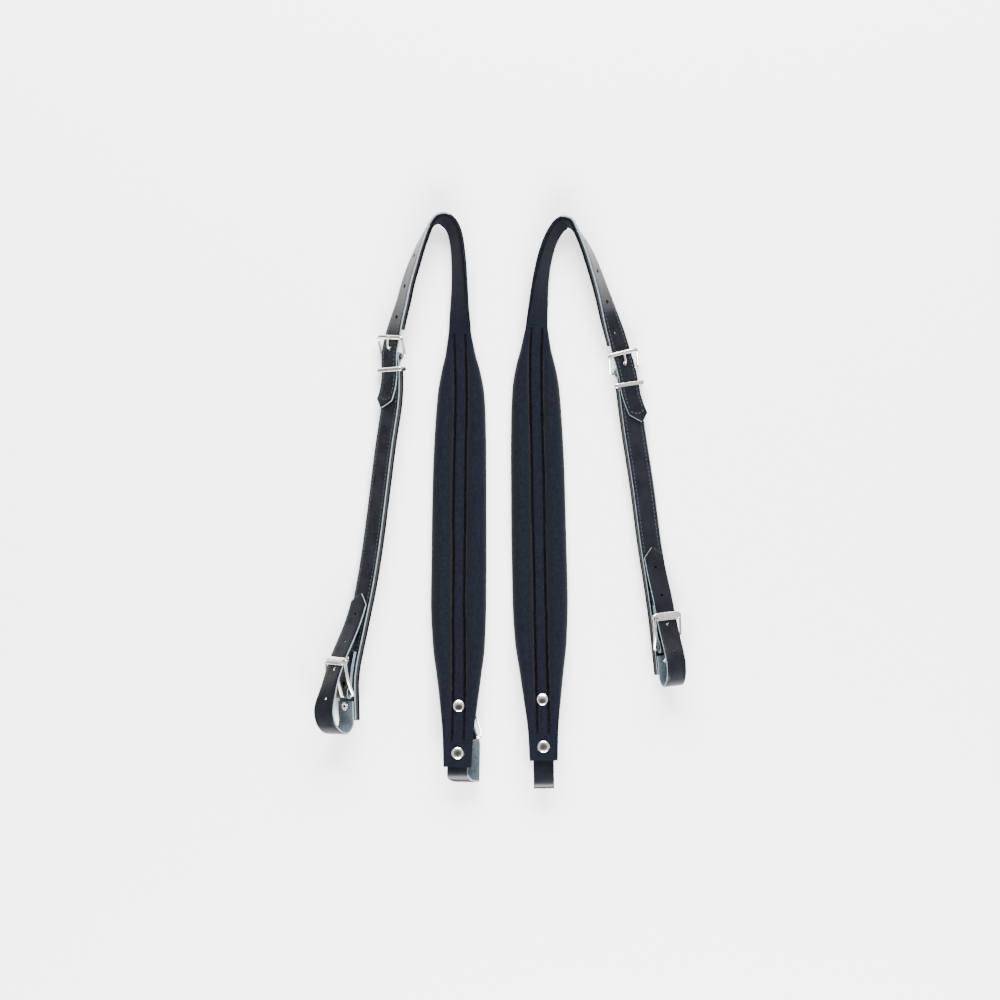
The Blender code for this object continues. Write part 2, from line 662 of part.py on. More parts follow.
    def main_frame(self):
        axes = self.main_axes()
        wire = (BUCKLE_WIRE, BUCKLE_WIRE)
        rows = rounded_frame(BUCKLE_WIDTH / 2 - BUCKLE_WIRE / 2, 0, BUCKLE_LENGTH, 3.0,
                             (wire, wire, (BUCKLE_WIRE + FRONT_BAR_EXTRA, BUCKLE_WIRE)))
        mesh = ring(self.name("main_frame"), [[self.seat(axes, *p) for p in row] for row in rows])
        self.hinged(self.piece("main_frame", mesh, "nickel"), axes)

    def curl(self, bar_radius, thickness, away):
        """Centre line of the eye that a tongue's strip makes round its bar, ending at away degrees."""
        radius = bar_radius * 1.09 + GAP + thickness / 2
        return [
            (radius * math.cos(math.radians(a)), radius * math.sin(math.radians(a)))
            for a in np.arange(away + 300, away - 1, -30)
        ]

    def tongue_sections(self, axes, eye, arm, thickness, widths):
        path = np.vstack([np.array(eye), along([eye[-1], *arm], 3.0)[1:]])
        spread = np.interp(np.linspace(0, 1, len(path)), np.linspace(0, 1, len(widths)), widths)
        return bent_strip(lambda y, x, z: self.seat(axes, x, y, z), path, thickness, spread)

    def main_prong(self):
        axes = self.main_axes()
        hole_low = self.local(axes, self.route.point(self.hole, 0, -1.6))
        hole_high = self.local(axes, self.route.point(self.hole, 0, OUTER + 1.7))
        above_bar = BUCKLE_WIRE / 2 + GAP + PRONG / 2
        front, tip = (BUCKLE_LENGTH - 1.0, above_bar + 0.35), (BUCKLE_LENGTH + 2.6, above_bar)
        middle = tuple(np.array(hole_high) * 0.55 + np.array(front) * 0.45 + np.array((0, 0.45)))
        eye = self.curl(BUCKLE_WIRE / 2, PRONG, 55)
        sections = self.tongue_sections(
            axes, eye, [hole_low, hole_high, middle, front, tip], PRONG, (1.5, 1.5, 1.3, 1.25, 0.9)
        )
        made = self.piece("main_prong", ribbon(self.name("main_prong"), sections), "nickel")
        self.hinged(made, axes)

    def keeper(self):
        distance = self.hole + KEEPER_BEHIND_HOLE
        low = LINING_BOTTOM - GAP - KEEPER_BAND / 2
        high = OUTER + GAP + KEEPER_BAND / 2
        origin = self.route.point(distance, 0, 0)
        _, direction, width, outward = self.route.frame(distance)
        axes = (origin, width, outward, direction)
        band = (KEEPER_BAND, KEEPER_LENGTH)
        rows = rounded_frame(KEEPER_WIDTH / 2 - KEEPER_BAND / 2, low, high, 1.8, (band, band, band))
        mesh = ring(self.name("keeper"), [[self.seat(axes, *p) for p in row] for row in rows])
        self.hinged(self.piece("keeper", mesh, "nickel"), axes)

    # ---- the loop and the little buckle at each end
    def end_fitting(self, label, face, inner_face, forward):
        rise, plate_height, nose, swivel, twist = self.plan[label]
        route, start = self.route, 0.0 if forward else self.route.length
        sign = 1 if forward else -1
        turn = math.radians(swivel)

        def place(up, across, height):
            return route.point(start + sign * up, across, face + height)

        def swivelled(up, across, height):
            arm = up - RIVET_FAR
            return place(RIVET_FAR + arm * math.cos(turn) + across * math.sin(turn),
                         across * math.cos(turn) - arm * math.sin(turn), height)

        rest = GAP + END_STRIP / 2
        over_chape = 2 * (CHAPE + GAP) + rest
        path = along([
            (END_STRIP_CUT, rest), (6, rest), (-0.5 * nose, rest + 0.035 * rise), (-nose, 0.36 * rise),
            (-0.7 * nose, 0.72 * rise), (0, 0.93 * rise), (12, rise),
            (28, 0.62 * rise + 0.418 * plate_height), (44, 0.22 * rise + 0.819 * plate_height),
            (PLATE_AT, plate_height),
            (76, 0.55 * plate_height + 0.45 * over_chape), (98, 0.25 * plate_height + 0.75 * rest + 0.4),
            (END_STRIP_TIP, rest + 0.4),
        ], 5.0)
        reach = np.concatenate([[0], np.cumsum(np.linalg.norm(np.diff(path, axis=0), axis=1))])
        halves = np.minimum(END_STRIP_WIDTH / 2, 0.8 + (reach[-1] - reach) * 1.0)
        loose, loose_reach = path[reach >= STRIP_FIXED], reach[reach >= STRIP_FIXED]
        returning, returning_reach = loose[np.argmax(loose[:, 1]):], loose_reach[np.argmax(loose[:, 1]):]

        def lean(up, height):
            """How far the loose run of the strip sits aside, to pass through a swivelled buckle."""
            aside = min(max(RIVET_FAR - up, 0.0) * math.tan(turn), 12.0)
            return aside * float(np.clip((height - 2.5) / 7.0, 0, 1))

        def strip_place(up, across, height):
            raised = min(max((height - 4) / (0.5 * rise), 0.0), 1.0)
            near = min(max((44 - up) / 32.0, 0.0), 1.0)
            angle = math.radians(twist) * steep(raised) * steep(near)
            return place(up, across * math.cos(angle) + lean(up, height), height - across * math.sin(angle))

        made = self.piece(label + "_strip", ribbon(
            self.name(label + "_strip"), bent_strip(strip_place, path, END_STRIP, halves)), "leather")
        shape = bmesh.new()

        def strip_hole(at_reach, radius):
            spot = [np.interp(at_reach, loose_reach, loose[:, k]) for k in range(2)]
            ahead = [np.interp(at_reach + 1, loose_reach, loose[:, k]) - spot[k] for k in range(2)]
            ahead = np.array(ahead) / np.linalg.norm(ahead)
            out = np.array([-ahead[1], ahead[0]])
            ends = [strip_place(spot[0] + out[0] * d, 0, spot[1] + out[1] * d) for d in (-3, 3)]
            cylinder_between(shape, ends[0], ends[1], radius, 10)
            return ends

        in_use = float(np.interp(TONGUE_HOLE_AT, returning[:, 0], returning_reach))
        stud_ends = strip_hole(in_use, END_HOLE_RADIUS + 0.7)
        for number in (-1, 1, 2):
            at_reach = in_use + number * END_HOLE_PITCH
            if at_reach < reach[-1] - 12:
                strip_hole(at_reach, END_HOLE_RADIUS)
        cylinder_between(shape, place(RIVET_NEAR, 0, -2), place(RIVET_NEAR, 0, 5), RIVET_SHANK + GAP, 10)
        cut(made, shape, self.cutters, self.home)

        # chape: two layers on the strap, folded round the heel bar
        low_level = GAP + CHAPE / 2
        high_level = low_level + CHAPE + GAP
        fold_radius = END_BAR / 2 + BAR_GAP + CHAPE / 2
        bar_level = low_level + fold_radius
        bow = [
            (END_HEEL - fold_radius * math.sin(math.radians(a)),
             bar_level - fold_radius * math.cos(math.radians(a)))
            for a in range(0, 181, 20)
        ]
        chape_path = np.array(
            [(CHAPE_CUT, low_level), (50, low_level), (34, low_level)] + bow
            + [(END_HEEL + 4, bar_level + fold_radius * 0.92), (END_HEEL + 9, high_level + 1.6),
               (END_HEEL + 14, high_level + 0.1), (50, high_level), (CHAPE_CUT, high_level)]
        )
        chape = self.piece(label + "_chape", ribbon(self.name(label + "_chape"), bent_strip(
            swivelled, chape_path, CHAPE, [CHAPE_WIDTH / 2] * len(chape_path))), "leather")
        shape = bmesh.new()
        slot = TONGUE_WIDTH / 2 + 0.8
        lows = [(END_HEEL - 6, -slot), (END_HEEL + 13, -slot), (END_HEEL + 13, slot), (END_HEEL - 6, slot)]
        block_between(shape, [swivelled(d, u, -1.0) for d, u in lows]
                      + [swivelled(d, u, bar_level + 5) for d, u in lows])
        cylinder_between(shape, place(RIVET_FAR, 0, -2), place(RIVET_FAR, 0, 8), RIVET_SHANK + GAP, 10)
        cut(chape, shape, self.cutters, self.home)

        # rigid buckle, hinged on its heel bar
        plate_level = plate_height + END_STRIP / 2 + GAP + PLATE / 2 + 0.2
        axes = self.rigid(swivelled(END_HEEL, 0, bar_level), swivelled(PLATE_AT, 0, plate_level),
                          swivelled(END_HEEL, 1, bar_level))
        if np.dot(axes[3], route.frame(start + sign * END_HEEL)[3]) < 0:
            axes = (axes[0], -axes[1], axes[2], -axes[3])
        length = float(np.linalg.norm(swivelled(PLATE_AT, 0, plate_level) - axes[0]))
        half_plate = PLATE_LENGTH / 2
        edges = [
            swivelled(up, 0, np.interp(up, returning[:, 0], returning[:, 1]))
            for up in (PLATE_AT - half_plate, PLATE_AT + half_plate)
        ]
        run = np.array(self.local(axes, edges[1])) - np.array(self.local(axes, edges[0]))
        plate_tilt = math.atan2(run[1], run[0])
        rows = rounded_frame((END_BUCKLE_WIDTH - END_FLANK) / 2, 0, length, 3.0,
                             ((END_BAR, END_BAR), (END_FLANK, END_BAR), (PLATE_LENGTH, PLATE)),
                             bow=END_BOW, tilt=plate_tilt)
        mesh = ring(self.name(label + "_frame"), [[self.seat(axes, *p) for p in row] for row in rows])
        self.hinged(self.piece(label + "_frame", mesh, "nickel"), axes)

        ends = np.array([self.local(axes, spot) for spot in stud_ends])
        ends = ends[np.argsort(ends[:, 1])]
        centre, out = ends.mean(axis=0), ends[1] - ends[0]
        out /= np.linalg.norm(out)
        below = centre - out * (END_STRIP / 2 + GAP + TONGUE / 2 + 0.35)
        eye = self.curl(END_BAR / 2, TONGUE, 75)
        bend = below - np.array((2.4, 0.2))
        arm = [tuple(bend * 0.55 + np.array(eye[-1]) * 0.45), tuple(bend), tuple(centre - out * 0.9),
               tuple(centre + out * (END_STRIP / 2 + 0.5))]
        half = TONGUE_WIDTH / 2
        sections = self.tongue_sections(axes, eye, arm, TONGUE, (half, half, half, 1.3, 0.9))
        tongue = self.piece(label + "_tongue", ribbon(self.name(label + "_tongue"), sections), "nickel")
        self.hinged(tongue, axes)

        for number, up, top in ((1, RIVET_NEAR, END_STRIP + GAP), (2, RIVET_FAR, high_level + CHAPE / 2)):
            _, _, _, outward = route.frame(start + sign * up)
            levels = (inner_face - 1.6 * GAP, face + top + GAP)
            rivet(self.name(f"{label}_rivet_{number}"), route.point(start + sign * up, 0, 0), outward,
                  levels, self.parts, self.home)

    def build(self):
        self.long_leather()
        self.upper_lining()
        self.pad()
        self.lower_leather()
        self.lower_lining()
        self.main_frame()
        self.main_prong()
        self.keeper()
        self.end_fitting("pad_end", OUTER, CHANNEL_TOP, True)
        self.end_fitting("lower_end", LOWER_FACE, LINING_BOTTOM, False)


def centre_pair(straps, parts):
    """Puts the pair's box over the origin, standing on the surface."""
    bpy.context.view_layer.update()
    graph = bpy.context.evaluated_depsgraph_get()
    points = []
    for thing in parts.objects:
        if thing.type == "MESH":
            made = thing.evaluated_get(graph)
            points += [made.matrix_world @ vertex.co for vertex in made.to_mesh().vertices]
            made.to_mesh_clear()
    low = [min(point[k] for point in points) for k in range(3)]
    high = [max(point[k] for point in points) for k in range(3)]
    shift = Vector((-(low[0] + high[0]) / 2, -(low[1] + high[1]) / 2, -low[2]))
    for strap in straps:
        strap.home.location = shift
    print("pair shifted by", [round(value * 1000, 3) for value in shift], "mm")


def main():
    clear_scene()
    parts, cutters = new_collection("accordion_shoulder_straps"), new_collection("cutters")
    cutters.hide_render = True
    straps = [Strap(side, plan, parts, cutters) for side, plan in STRAPS.items()]
    for strap in straps:
        strap.build()
        print(strap.side, "strap is", round(strap.route.length, 1), "mm long along its route")
    centre_pair(straps, parts)


main()
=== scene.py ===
# %% [markdown]
# # A pair of padded accordion shoulder straps
# Two loose straps lie on a pale surface. Each is a long leather that carries a velvet pad, bends over
# at the top on its edge and comes back as a holed billet, buckled to a shorter lower strap.
# The fixed frame holds the measured solids. Every cell below dresses one kind of piece over it.

# %% Kit, frame and its box
import math

import bmesh
import bpy
import numpy as np
from mathutils import Matrix, Vector, noise


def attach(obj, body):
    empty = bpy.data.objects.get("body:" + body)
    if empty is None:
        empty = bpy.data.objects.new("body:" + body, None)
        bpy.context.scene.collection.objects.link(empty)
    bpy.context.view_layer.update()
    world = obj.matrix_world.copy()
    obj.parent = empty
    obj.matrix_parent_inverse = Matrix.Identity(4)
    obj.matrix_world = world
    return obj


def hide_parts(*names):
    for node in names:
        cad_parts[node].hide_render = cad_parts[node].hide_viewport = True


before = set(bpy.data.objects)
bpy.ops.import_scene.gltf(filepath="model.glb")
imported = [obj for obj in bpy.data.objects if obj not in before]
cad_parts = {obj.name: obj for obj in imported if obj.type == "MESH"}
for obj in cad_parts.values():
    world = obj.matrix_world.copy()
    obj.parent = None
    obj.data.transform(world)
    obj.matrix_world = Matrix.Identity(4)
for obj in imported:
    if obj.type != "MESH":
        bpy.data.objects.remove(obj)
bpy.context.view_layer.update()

# %% [markdown]
# ## Sizes of the straps
# The straps are cut from flat hides and webs, so a few thicknesses and widths set everything. They
# could be measured off the frame's solids, but a named size says what it is. All are in millimetres.

# %% Strap sizes
GAP, BAR_GAP = 0.3, 0.8  # between pieces that touch, and round a hinge bar
BILLET_WIDTH, NARROW_LINING_WIDTH = 20.0, 23.0
LOWER_LEATHER_WIDTH, LOWER_LINING_WIDTH = 22.0, 26.0
LEATHER, LINING, VELVET = 2.2, 3.4, 1.2
PAD_LENGTH, PAD_TAB, LOBE_HEIGHT, CHANNEL = 435.0, 32.0, 9.5, 6.9
PAD_FOOT, PAD_HEAD, HEM = 75.0, 60.0, 0.6
# The second of these is how far either side of a groove the pad's painted shade reaches.
GROOVE, GROOVE_SHADE_REACH, RIDGE_HEIGHT = 5.75, 1.3, 2.4
HOLE_PITCH, HOLE_COUNT, HOLE_RADIUS = 32.0, 5, 2.1
TIP_REACH, POINT_LENGTH = 60.0, 9.0
SEAM_INSET = 3.0
print("leather", LEATHER, "mm, lining", LINING, "mm, pad", PAD_LENGTH, "mm long")

# %% [markdown]
# ## Sizes of the metal and the end loops
# Buckles, keepers and rivets come in trade sizes that fit the leather's width. The little loops at
# the ends are thinner leather, so that they can turn round a bracket on the instrument.

# %% Metal and loop sizes
BUCKLE_WIDTH, BUCKLE_LENGTH, BUCKLE_WIRE, FRONT_BAR_EXTRA = 34.0, 20.0, 3.0, 1.6
HEEL_BEHIND_HOLE, KEEPER_BEHIND_HOLE, TAIL = 7.0, 21.0, 11.0
KEEPER_WIDTH, KEEPER_BAND, KEEPER_LENGTH = 33.0, 1.3, 4.0
PRONG, PRONG_SLOT = 1.9, 3.0
END_STRIP_WIDTH, END_STRIP, END_STRIP_CUT, END_STRIP_TIP = 20.5, 2.0, 19.0, 128.0
STRIP_FIXED, END_HOLE_PITCH, END_HOLE_RADIUS = 28.0, 29.0, 1.5
RIVET_NEAR, RIVET_FAR, RIVET_SHANK, RIVET_HEAD, RIVET_DOME = 14.0, 61.0, 1.6, 6.3, 2.4
RIVET_HOLE = RIVET_SHANK + 0.2
CLINCH_RADIUS, CLINCH_HEIGHT = 4.3, 1.2
CHAPE, CHAPE_WIDTH, CHAPE_CUT, END_HEEL = 1.5, 17.0, 70.0, 25.5
END_BUCKLE_WIDTH, END_BAR, END_FLANK, END_BOW = 30.0, 3.0, 2.4, 2.2
PLATE_AT, PLATE_LENGTH, PLATE = 58.0, 8.0, 2.5
TONGUE, TONGUE_WIDTH, TONGUE_HOLE_AT = 1.1, 4.4, 50.5
print("main buckle", BUCKLE_WIDTH, "mm wide, end buckle", END_BUCKLE_WIDTH, "mm wide")

# %% [markdown]
# ## Layers
# A strap is a stack: leather, pad or lining, and at the buckle a second leather under the first.
# Counting every height from the one face that the two leathers share keeps the layers from crossing.

# %% Heights of the layers
OUTER = GAP / 2 + LEATHER  # the long leather's outer face
LOWER_FACE = -GAP / 2  # the lower leather's outer face
LINING_TOP = -(GAP / 2 + LEATHER + GAP)
LINING_BOTTOM = LINING_TOP - LINING
CHANNEL_TOP = -(GAP / 2 + GAP + VELVET)
PAIR_SHIFT = (-0.206, 0.149, 0.12)  # centres the pair over the frame's origin
print("layers run from", round(LINING_BOTTOM, 2), "to", round(OUTER, 2), "mm")

# %% [markdown]
# ## The pad's outline
# A pad is narrow where the rivets hold it, widest over the shoulder and narrow again at the top. Half
# widths at a few distances are enough, because a smooth curve joins them.

# %% Pad outline
PAD_OUTLINE = (
    (0, 14.0), (30, 15.2), (60, 18.5), (90, 22.2), (120, 26.0), (165, 27.8),
    (285, 27.0), (345, 25.3), (375, 23.3), (395, 19.8), (415, 14.8), (435, 11.6),
)
print("pad is", 2 * max(half for _, half in PAD_OUTLINE), "mm wide")

# %% [markdown]
# ## Where each strap lies
# Every knot is x, y, the bank of the strap and a little extra height. A bank of 90 has the velvet up,
# 0 stands on its edge, and a negative one has the leather up. Both are laid out as a left strap, and
# the right one is mirrored afterwards. A cloth run could lay them down too, but never in this exact
# pose.

# %% Left route
LEFT_ROUTE = (
    (-42.5, -266, 90, 21.6), (-42.0, -236, 90, 19.6), (-41.3, -206, 90, 14.4), (-41.0, -175, 90, 8.4),
    (-41.2, -141, 90, 3.6), (-41.5, -101, 90, 0.6), (-41.1, -66, 90, 0.0), (-41.0, -40, 90, 0.0),
    (-40.5, 19, 90, 0.0), (-39.6, 70, 90, 0.0), (-39.0, 109, 90, 0.0), (-39.6, 145, 88, 0.0),
    (-40.0, 170, 72, 0.0), (-39.8, 195, 45, 0.0), (-39.8, 223, 34, 0.0), (-41.3, 249, 29, 0.0),
    (-43.8, 265, 28, 0.0), (-48.0, 275.2, 28, 0.0), (-54.0, 280.8, 27, 0.0), (-61.0, 281.8, 14, 0.0),
    (-67.5, 278.0, 0, 0.0), (-72.5, 269.8, -6, 0.0), (-79.8, 253.2, -15, 0.0), (-87.2, 233, -24, 0.0),
    (-93.0, 214.5, -28, 0.0), (-97.0, 198, -32, 0.0), (-102.0, 181, -39, 0.0), (-107.0, 161, -49, 0.8),
    (-109.6, 146, -51, 1.8), (-109.6, 127, -51, 2.4), (-110.0, 104, -51, 1.4), (-111.6, 89, -51, 0.4),
    (-114.6, 70, -51, 0.0), (-119.4, 35, -51, 0.0), (-123.7, 0, -51, 0.0), (-129.2, -42.5, -51, 0.0),
    (-137.1, -91, -51, 0.0), (-140.7, -109, -50, 0.0), (-147.0, -140, -48.5, 0.0),
    (-151.9, -165, -48, 0.0), (-153.6, -182, -48, 0.0), (-153.3, -200, -48, 0.0),
    (-152.8, -220, -48, 0.0),
)
print("left strap has", len(LEFT_ROUTE), "knots")

# %% [markdown]
# ## The right strap
# The second strap was dropped a little differently: it bends further out and its lower half lies
# flatter.

# %% Right route
RIGHT_ROUTE = (
    (-43.5, -259.6, 90, 21.6), (-43.0, -230, 90, 19.6), (-42.3, -200, 90, 14.4), (-41.6, -169, 90, 8.4),
    (-40.8, -135, 90, 3.6), (-40.2, -95, 90, 0.6), (-39.6, -66, 90, 0.0), (-39.0, -41, 90, 0.0),
    (-38.0, 19, 90, 0.0), (-36.6, 79, 90, 0.0), (-36.0, 109, 90, 0.0), (-35.8, 145, 88, 0.0),
    (-36.4, 170, 72, 0.0), (-37.8, 195, 50, 0.0), (-40.4, 223, 36, 0.0), (-45.2, 247, 30, 0.0),
    (-49.6, 260, 28, 0.0), (-55.4, 270.6, 28, 0.0), (-63.0, 277.7, 27, 0.0), (-69.0, 278.0, 14, 0.0),
    (-74.5, 273.0, 0, 0.0), (-79.0, 265.6, -6, 0.0), (-85.0, 254.5, -15, 0.0), (-92.0, 238, -24, 0.0),
    (-98.6, 219, -30, 0.0), (-106.0, 196, -42, 0.0), (-110.6, 181, -53, 0.4), (-115.4, 166, -64, 1.0),
    (-120.4, 149, -69, 1.7), (-124.6, 135, -70, 2.1), (-128.8, 115, -70, 2.1), (-131.2, 98, -70, 1.2),
    (-134.2, 75, -70, 0.3), (-138.2, 49, -70, 0.0), (-145.4, 0, -70, 0.0), (-150.9, -42.5, -70, 0.0),
    (-156.3, -77, -70, 0.0), (-159.3, -97, -70, 0.0), (-161.8, -115, -70, 0.0),
    (-165.0, -143, -70, 0.0), (-166.8, -161, -70, 0.0), (-168.0, -174, -70, 0.0),
)
print("right strap has", len(RIGHT_ROUTE), "knots")

# %% [markdown]
# ## Hole in use and loops
# Each strap has its own hole in use, and its billet's tip has swung outward a little. An end says how
# high its loop stands, how high it is at the plate, how far its nose reaches past the strap, how far
# the little buckle is swivelled about its rivet and how far the outer run is twisted, both in
# degrees.

# %% Hole in use and end loops
STRAPS = {
    "left": dict(route=LEFT_ROUTE, hole_in_use=702.0, swing=7.5,
                 pad_end=(19.5, 9.6, 14.0, 18.0, 0.0), lower_end=(32.4, 16.4, 12.0, 0.0, 22.0)),
    "right": dict(route=RIGHT_ROUTE, hole_in_use=705.6, swing=8.0,
                  pad_end=(19.5, 9.6, 27.0, 0.0, 0.0), lower_end=(23.5, 10.6, 11.0, 0.0, 0.0)),
}
print("straps:", ", ".join(STRAPS))

# %% [markdown]
# ## A smooth line
# A strap laid down by hand bends smoothly and never kinks. A natural cubic spline does that through
# the points where it lies, where straight pieces and arcs would look like bent wire.

# %% Smooth curve
def smooth(where, values, wanted):
    """A natural cubic spline through values at where, read at wanted."""
    where, values = np.asarray(where, float), np.asarray(values, float)
    count, step = len(where), np.diff(where)
    slope = np.diff(values) / step
    matrix, right = np.eye(count), np.zeros(count)
    for i in range(1, count - 1):
        matrix[i, i - 1 : i + 2] = step[i - 1], 2 * (step[i - 1] + step[i]), step[i]
        right[i] = 6 * (slope[i] - slope[i - 1])
    bend = np.linalg.solve(matrix, right)
    index = np.clip(np.searchsorted(where, wanted) - 1, 0, count - 2)
    before, after, width = wanted - where[index], where[index + 1] - wanted, step[index]
    return (
        (bend[index] * after**3 + bend[index + 1] * before**3) / (6 * width)
        + (values[index] / width - bend[index] * width / 6) * after
        + (values[index + 1] / width - bend[index + 1] * width / 6) * before
    )


print("halfway up a bump:", smooth((0, 1, 2), (0, 1, 0), np.array([0.5])).round(2))

# %% [markdown]
# ## A steady line
# Heights and banks must not swing past their values, or a level stretch would ripple. This curve
# keeps level stretches level and still has no corners.

# %% Steady curve
def steady(where, values, wanted):
    """A curve through values that never swings past them, so that level stretches stay level."""
    where, values = np.asarray(where, float), np.asarray(values, float)
    step = np.diff(where)
    slope = np.diff(values) / step
    lean = np.concatenate([[slope[0]], np.zeros(len(slope) - 1), [slope[-1]]])
    for i in range(1, len(slope)):
        if slope[i - 1] * slope[i] > 0:
            near, far = 2 * step[i] + step[i - 1], step[i] + 2 * step[i - 1]
            lean[i] = (near + far) / (near / slope[i - 1] + far / slope[i])
    index = np.clip(np.searchsorted(where, wanted) - 1, 0, len(step) - 1)
    width = step[index]
    t = (wanted - where[index]) / width
    return (
        values[index] * (2 * t**3 - 3 * t**2 + 1) + lean[index] * width * (t**3 - 2 * t**2 + t)
        + values[index + 1] * (3 * t**2 - 2 * t**3) + lean[index + 1] * width * (t**3 - t**2)
    )


def steep(share):
    """A share from 0 to 1, eased at both ends."""
    return share * share * (3 - 2 * share)


print("halfway up a step:", steady((0, 1, 2), (0, 1, 1), np.array([0.5])).round(2))

# %% [markdown]
# ## Points along a curve
# Lofting needs evenly spaced points, so the smooth curve is read at equal steps of its chord.

# %% Points along a curve
def along(points, spacing):
    """Points about spacing apart on a smooth curve through the given plane points."""
    points = np.asarray(points, float)
    chord = np.concatenate([[0], np.cumsum(np.linalg.norm(np.diff(points, axis=0), axis=1))])
    wanted = np.linspace(0, chord[-1], max(2, int(round(chord[-1] / spacing)) + 1))
    return np.column_stack([smooth(chord, points[:, k], wanted) for k in range(points.shape[1])])


print(len(along(((0, 0), (5, 2), (10, 0)), 1.0)), "points on a short bow")

# %% [markdown]
# ## The route of a strap
# One route carries every layer. At each distance it gives a place, the direction, the width direction
# and the outward direction, so a layer is only a width and a height. The height at a knot allows for
# the lining's edge, which is what touches the surface when the strap stands up.

# %% Route
class Route:
    """The face that a strap's layers share, with its frame at each distance along it."""

    FINE = 2400

    def __init__(self, knots):
        knots = np.array(knots, float)
        bank = np.radians(knots[:, 2])
        edge = LOWER_LINING_WIDTH / 2 * np.cos(bank)
        under = OUTER * np.maximum(0, np.sin(bank)) - LINING_BOTTOM * np.maximum(0, -np.sin(bank))
        spots = np.column_stack([knots[:, :2], knots[:, 3] + edge + under])
        chord = np.concatenate([[0], np.cumsum(np.linalg.norm(np.diff(spots, axis=0), axis=1))])
        fine = np.linspace(0, chord[-1], self.FINE)
        self.path = np.column_stack(
            [smooth(chord, spots[:, 0], fine), smooth(chord, spots[:, 1], fine),
             steady(chord, spots[:, 2], fine)]
        )
        self.bank = steady(chord, bank, fine)
        self.distance = np.concatenate(
            [[0], np.cumsum(np.linalg.norm(np.diff(self.path, axis=0), axis=1))]
        )
        self.length = float(self.distance[-1])

    def frame(self, distance):
        """Place, direction, width direction and outward direction."""
        inside = min(max(distance, 0.0), self.length)
        spot = np.array([np.interp(inside, self.distance, self.path[:, k]) for k in range(3)])
        reach = 1.5
        low, high = max(inside - reach, 0.0), min(inside + reach, self.length)
        ends = [
            np.array([np.interp(d, self.distance, self.path[:, k]) for k in range(3)])
            for d in (low, high)
        ]
        direction = (ends[1] - ends[0]) / np.linalg.norm(ends[1] - ends[0])
        bank = float(np.interp(inside, self.distance, self.bank))
        inner = np.cross((0, 0, 1), direction)
        inner /= np.linalg.norm(inner)
        upper = np.cross(direction, inner)
        width = -math.sin(bank) * inner + math.cos(bank) * upper
        outward = -math.cos(bank) * inner - math.sin(bank) * upper
        return spot + direction * (distance - inside), direction, width, outward

    def point(self, distance, across, height):
        spot, _, width, outward = self.frame(distance)
        return spot + width * across + outward * height


print("left route is", round(Route(LEFT_ROUTE).length, 1), "mm long")

# %% [markdown]
# ## How a finish is made
# Hide and velvet are never one flat colour. Noise in the object's own space mottles the colour and
# the roughness, and a finer noise with small cells makes the grain as a bump. The same recipe serves
# metal with a much smaller bump. Picture textures would need unwrapping and could not follow a size
# change.

# %% Finish helper
def node(tree, kind, **inputs):
    made = tree.nodes.new(kind)
    for key, value in inputs.items():
        made.inputs[key.replace("_", " ")].default_value = value
    return made


def finish(name, dark, light, rough, metallic=0.0, grain=(900.0, 0.00004), blotch=60.0, sheen=0.0, coat=0.0,
           shine=0.5):
    """A Principled finish: colour mottled between dark and light, roughness over a range, fine bump."""
    made = bpy.data.materials.new(name)
    made.use_nodes = True
    tree = made.node_tree
    shader = tree.nodes["Principled BSDF"]
    link = tree.links.new
    space = node(tree, "ShaderNodeTexCoord").outputs["Object"]
    patch = node(tree, "ShaderNodeTexNoise", Scale=blotch, Detail=6.0, Roughness=0.6)
    link(space, patch.inputs["Vector"])
    ramp = node(tree, "ShaderNodeValToRGB")
    ramp.color_ramp.elements[0].position, ramp.color_ramp.elements[1].position = 0.35, 0.68
    ramp.color_ramp.elements[0].color = (*dark, 1)
    ramp.color_ramp.elements[1].color = (*light, 1)
    link(patch.outputs["Fac"], ramp.inputs["Fac"])
    link(ramp.outputs["Color"], shader.inputs["Base Color"])
    spread = node(tree, "ShaderNodeMapRange")
    spread.inputs["To Min"].default_value, spread.inputs["To Max"].default_value = rough
    link(patch.outputs["Fac"], spread.inputs["Value"])
    link(spread.outputs["Result"], shader.inputs["Roughness"])
    fine = node(tree, "ShaderNodeTexNoise", Scale=grain[0], Detail=4.0, Roughness=0.65)
    link(space, fine.inputs["Vector"])
    cells = node(tree, "ShaderNodeTexVoronoi", Scale=grain[0] * 0.8)
    link(space, cells.inputs["Vector"])
    both = node(tree, "ShaderNodeMath")
    both.operation = "ADD"
    link(fine.outputs["Fac"], both.inputs[0])
    link(cells.outputs["Distance"], both.inputs[1])
    bump = node(tree, "ShaderNodeBump", Strength=0.6, Distance=grain[1])
    link(both.outputs["Value"], bump.inputs["Height"])
    link(bump.outputs["Normal"], shader.inputs["Normal"])
    shader.inputs["Metallic"].default_value = metallic
    shader.inputs["Sheen Weight"].default_value = sheen
    shader.inputs["Sheen Roughness"].default_value = 0.45
    shader.inputs["Specular IOR Level"].default_value = shine
    shader.inputs["Coat Weight"].default_value = coat
    shader.inputs["Coat Roughness"].default_value = 0.3
    return made


print("finish helper ready")
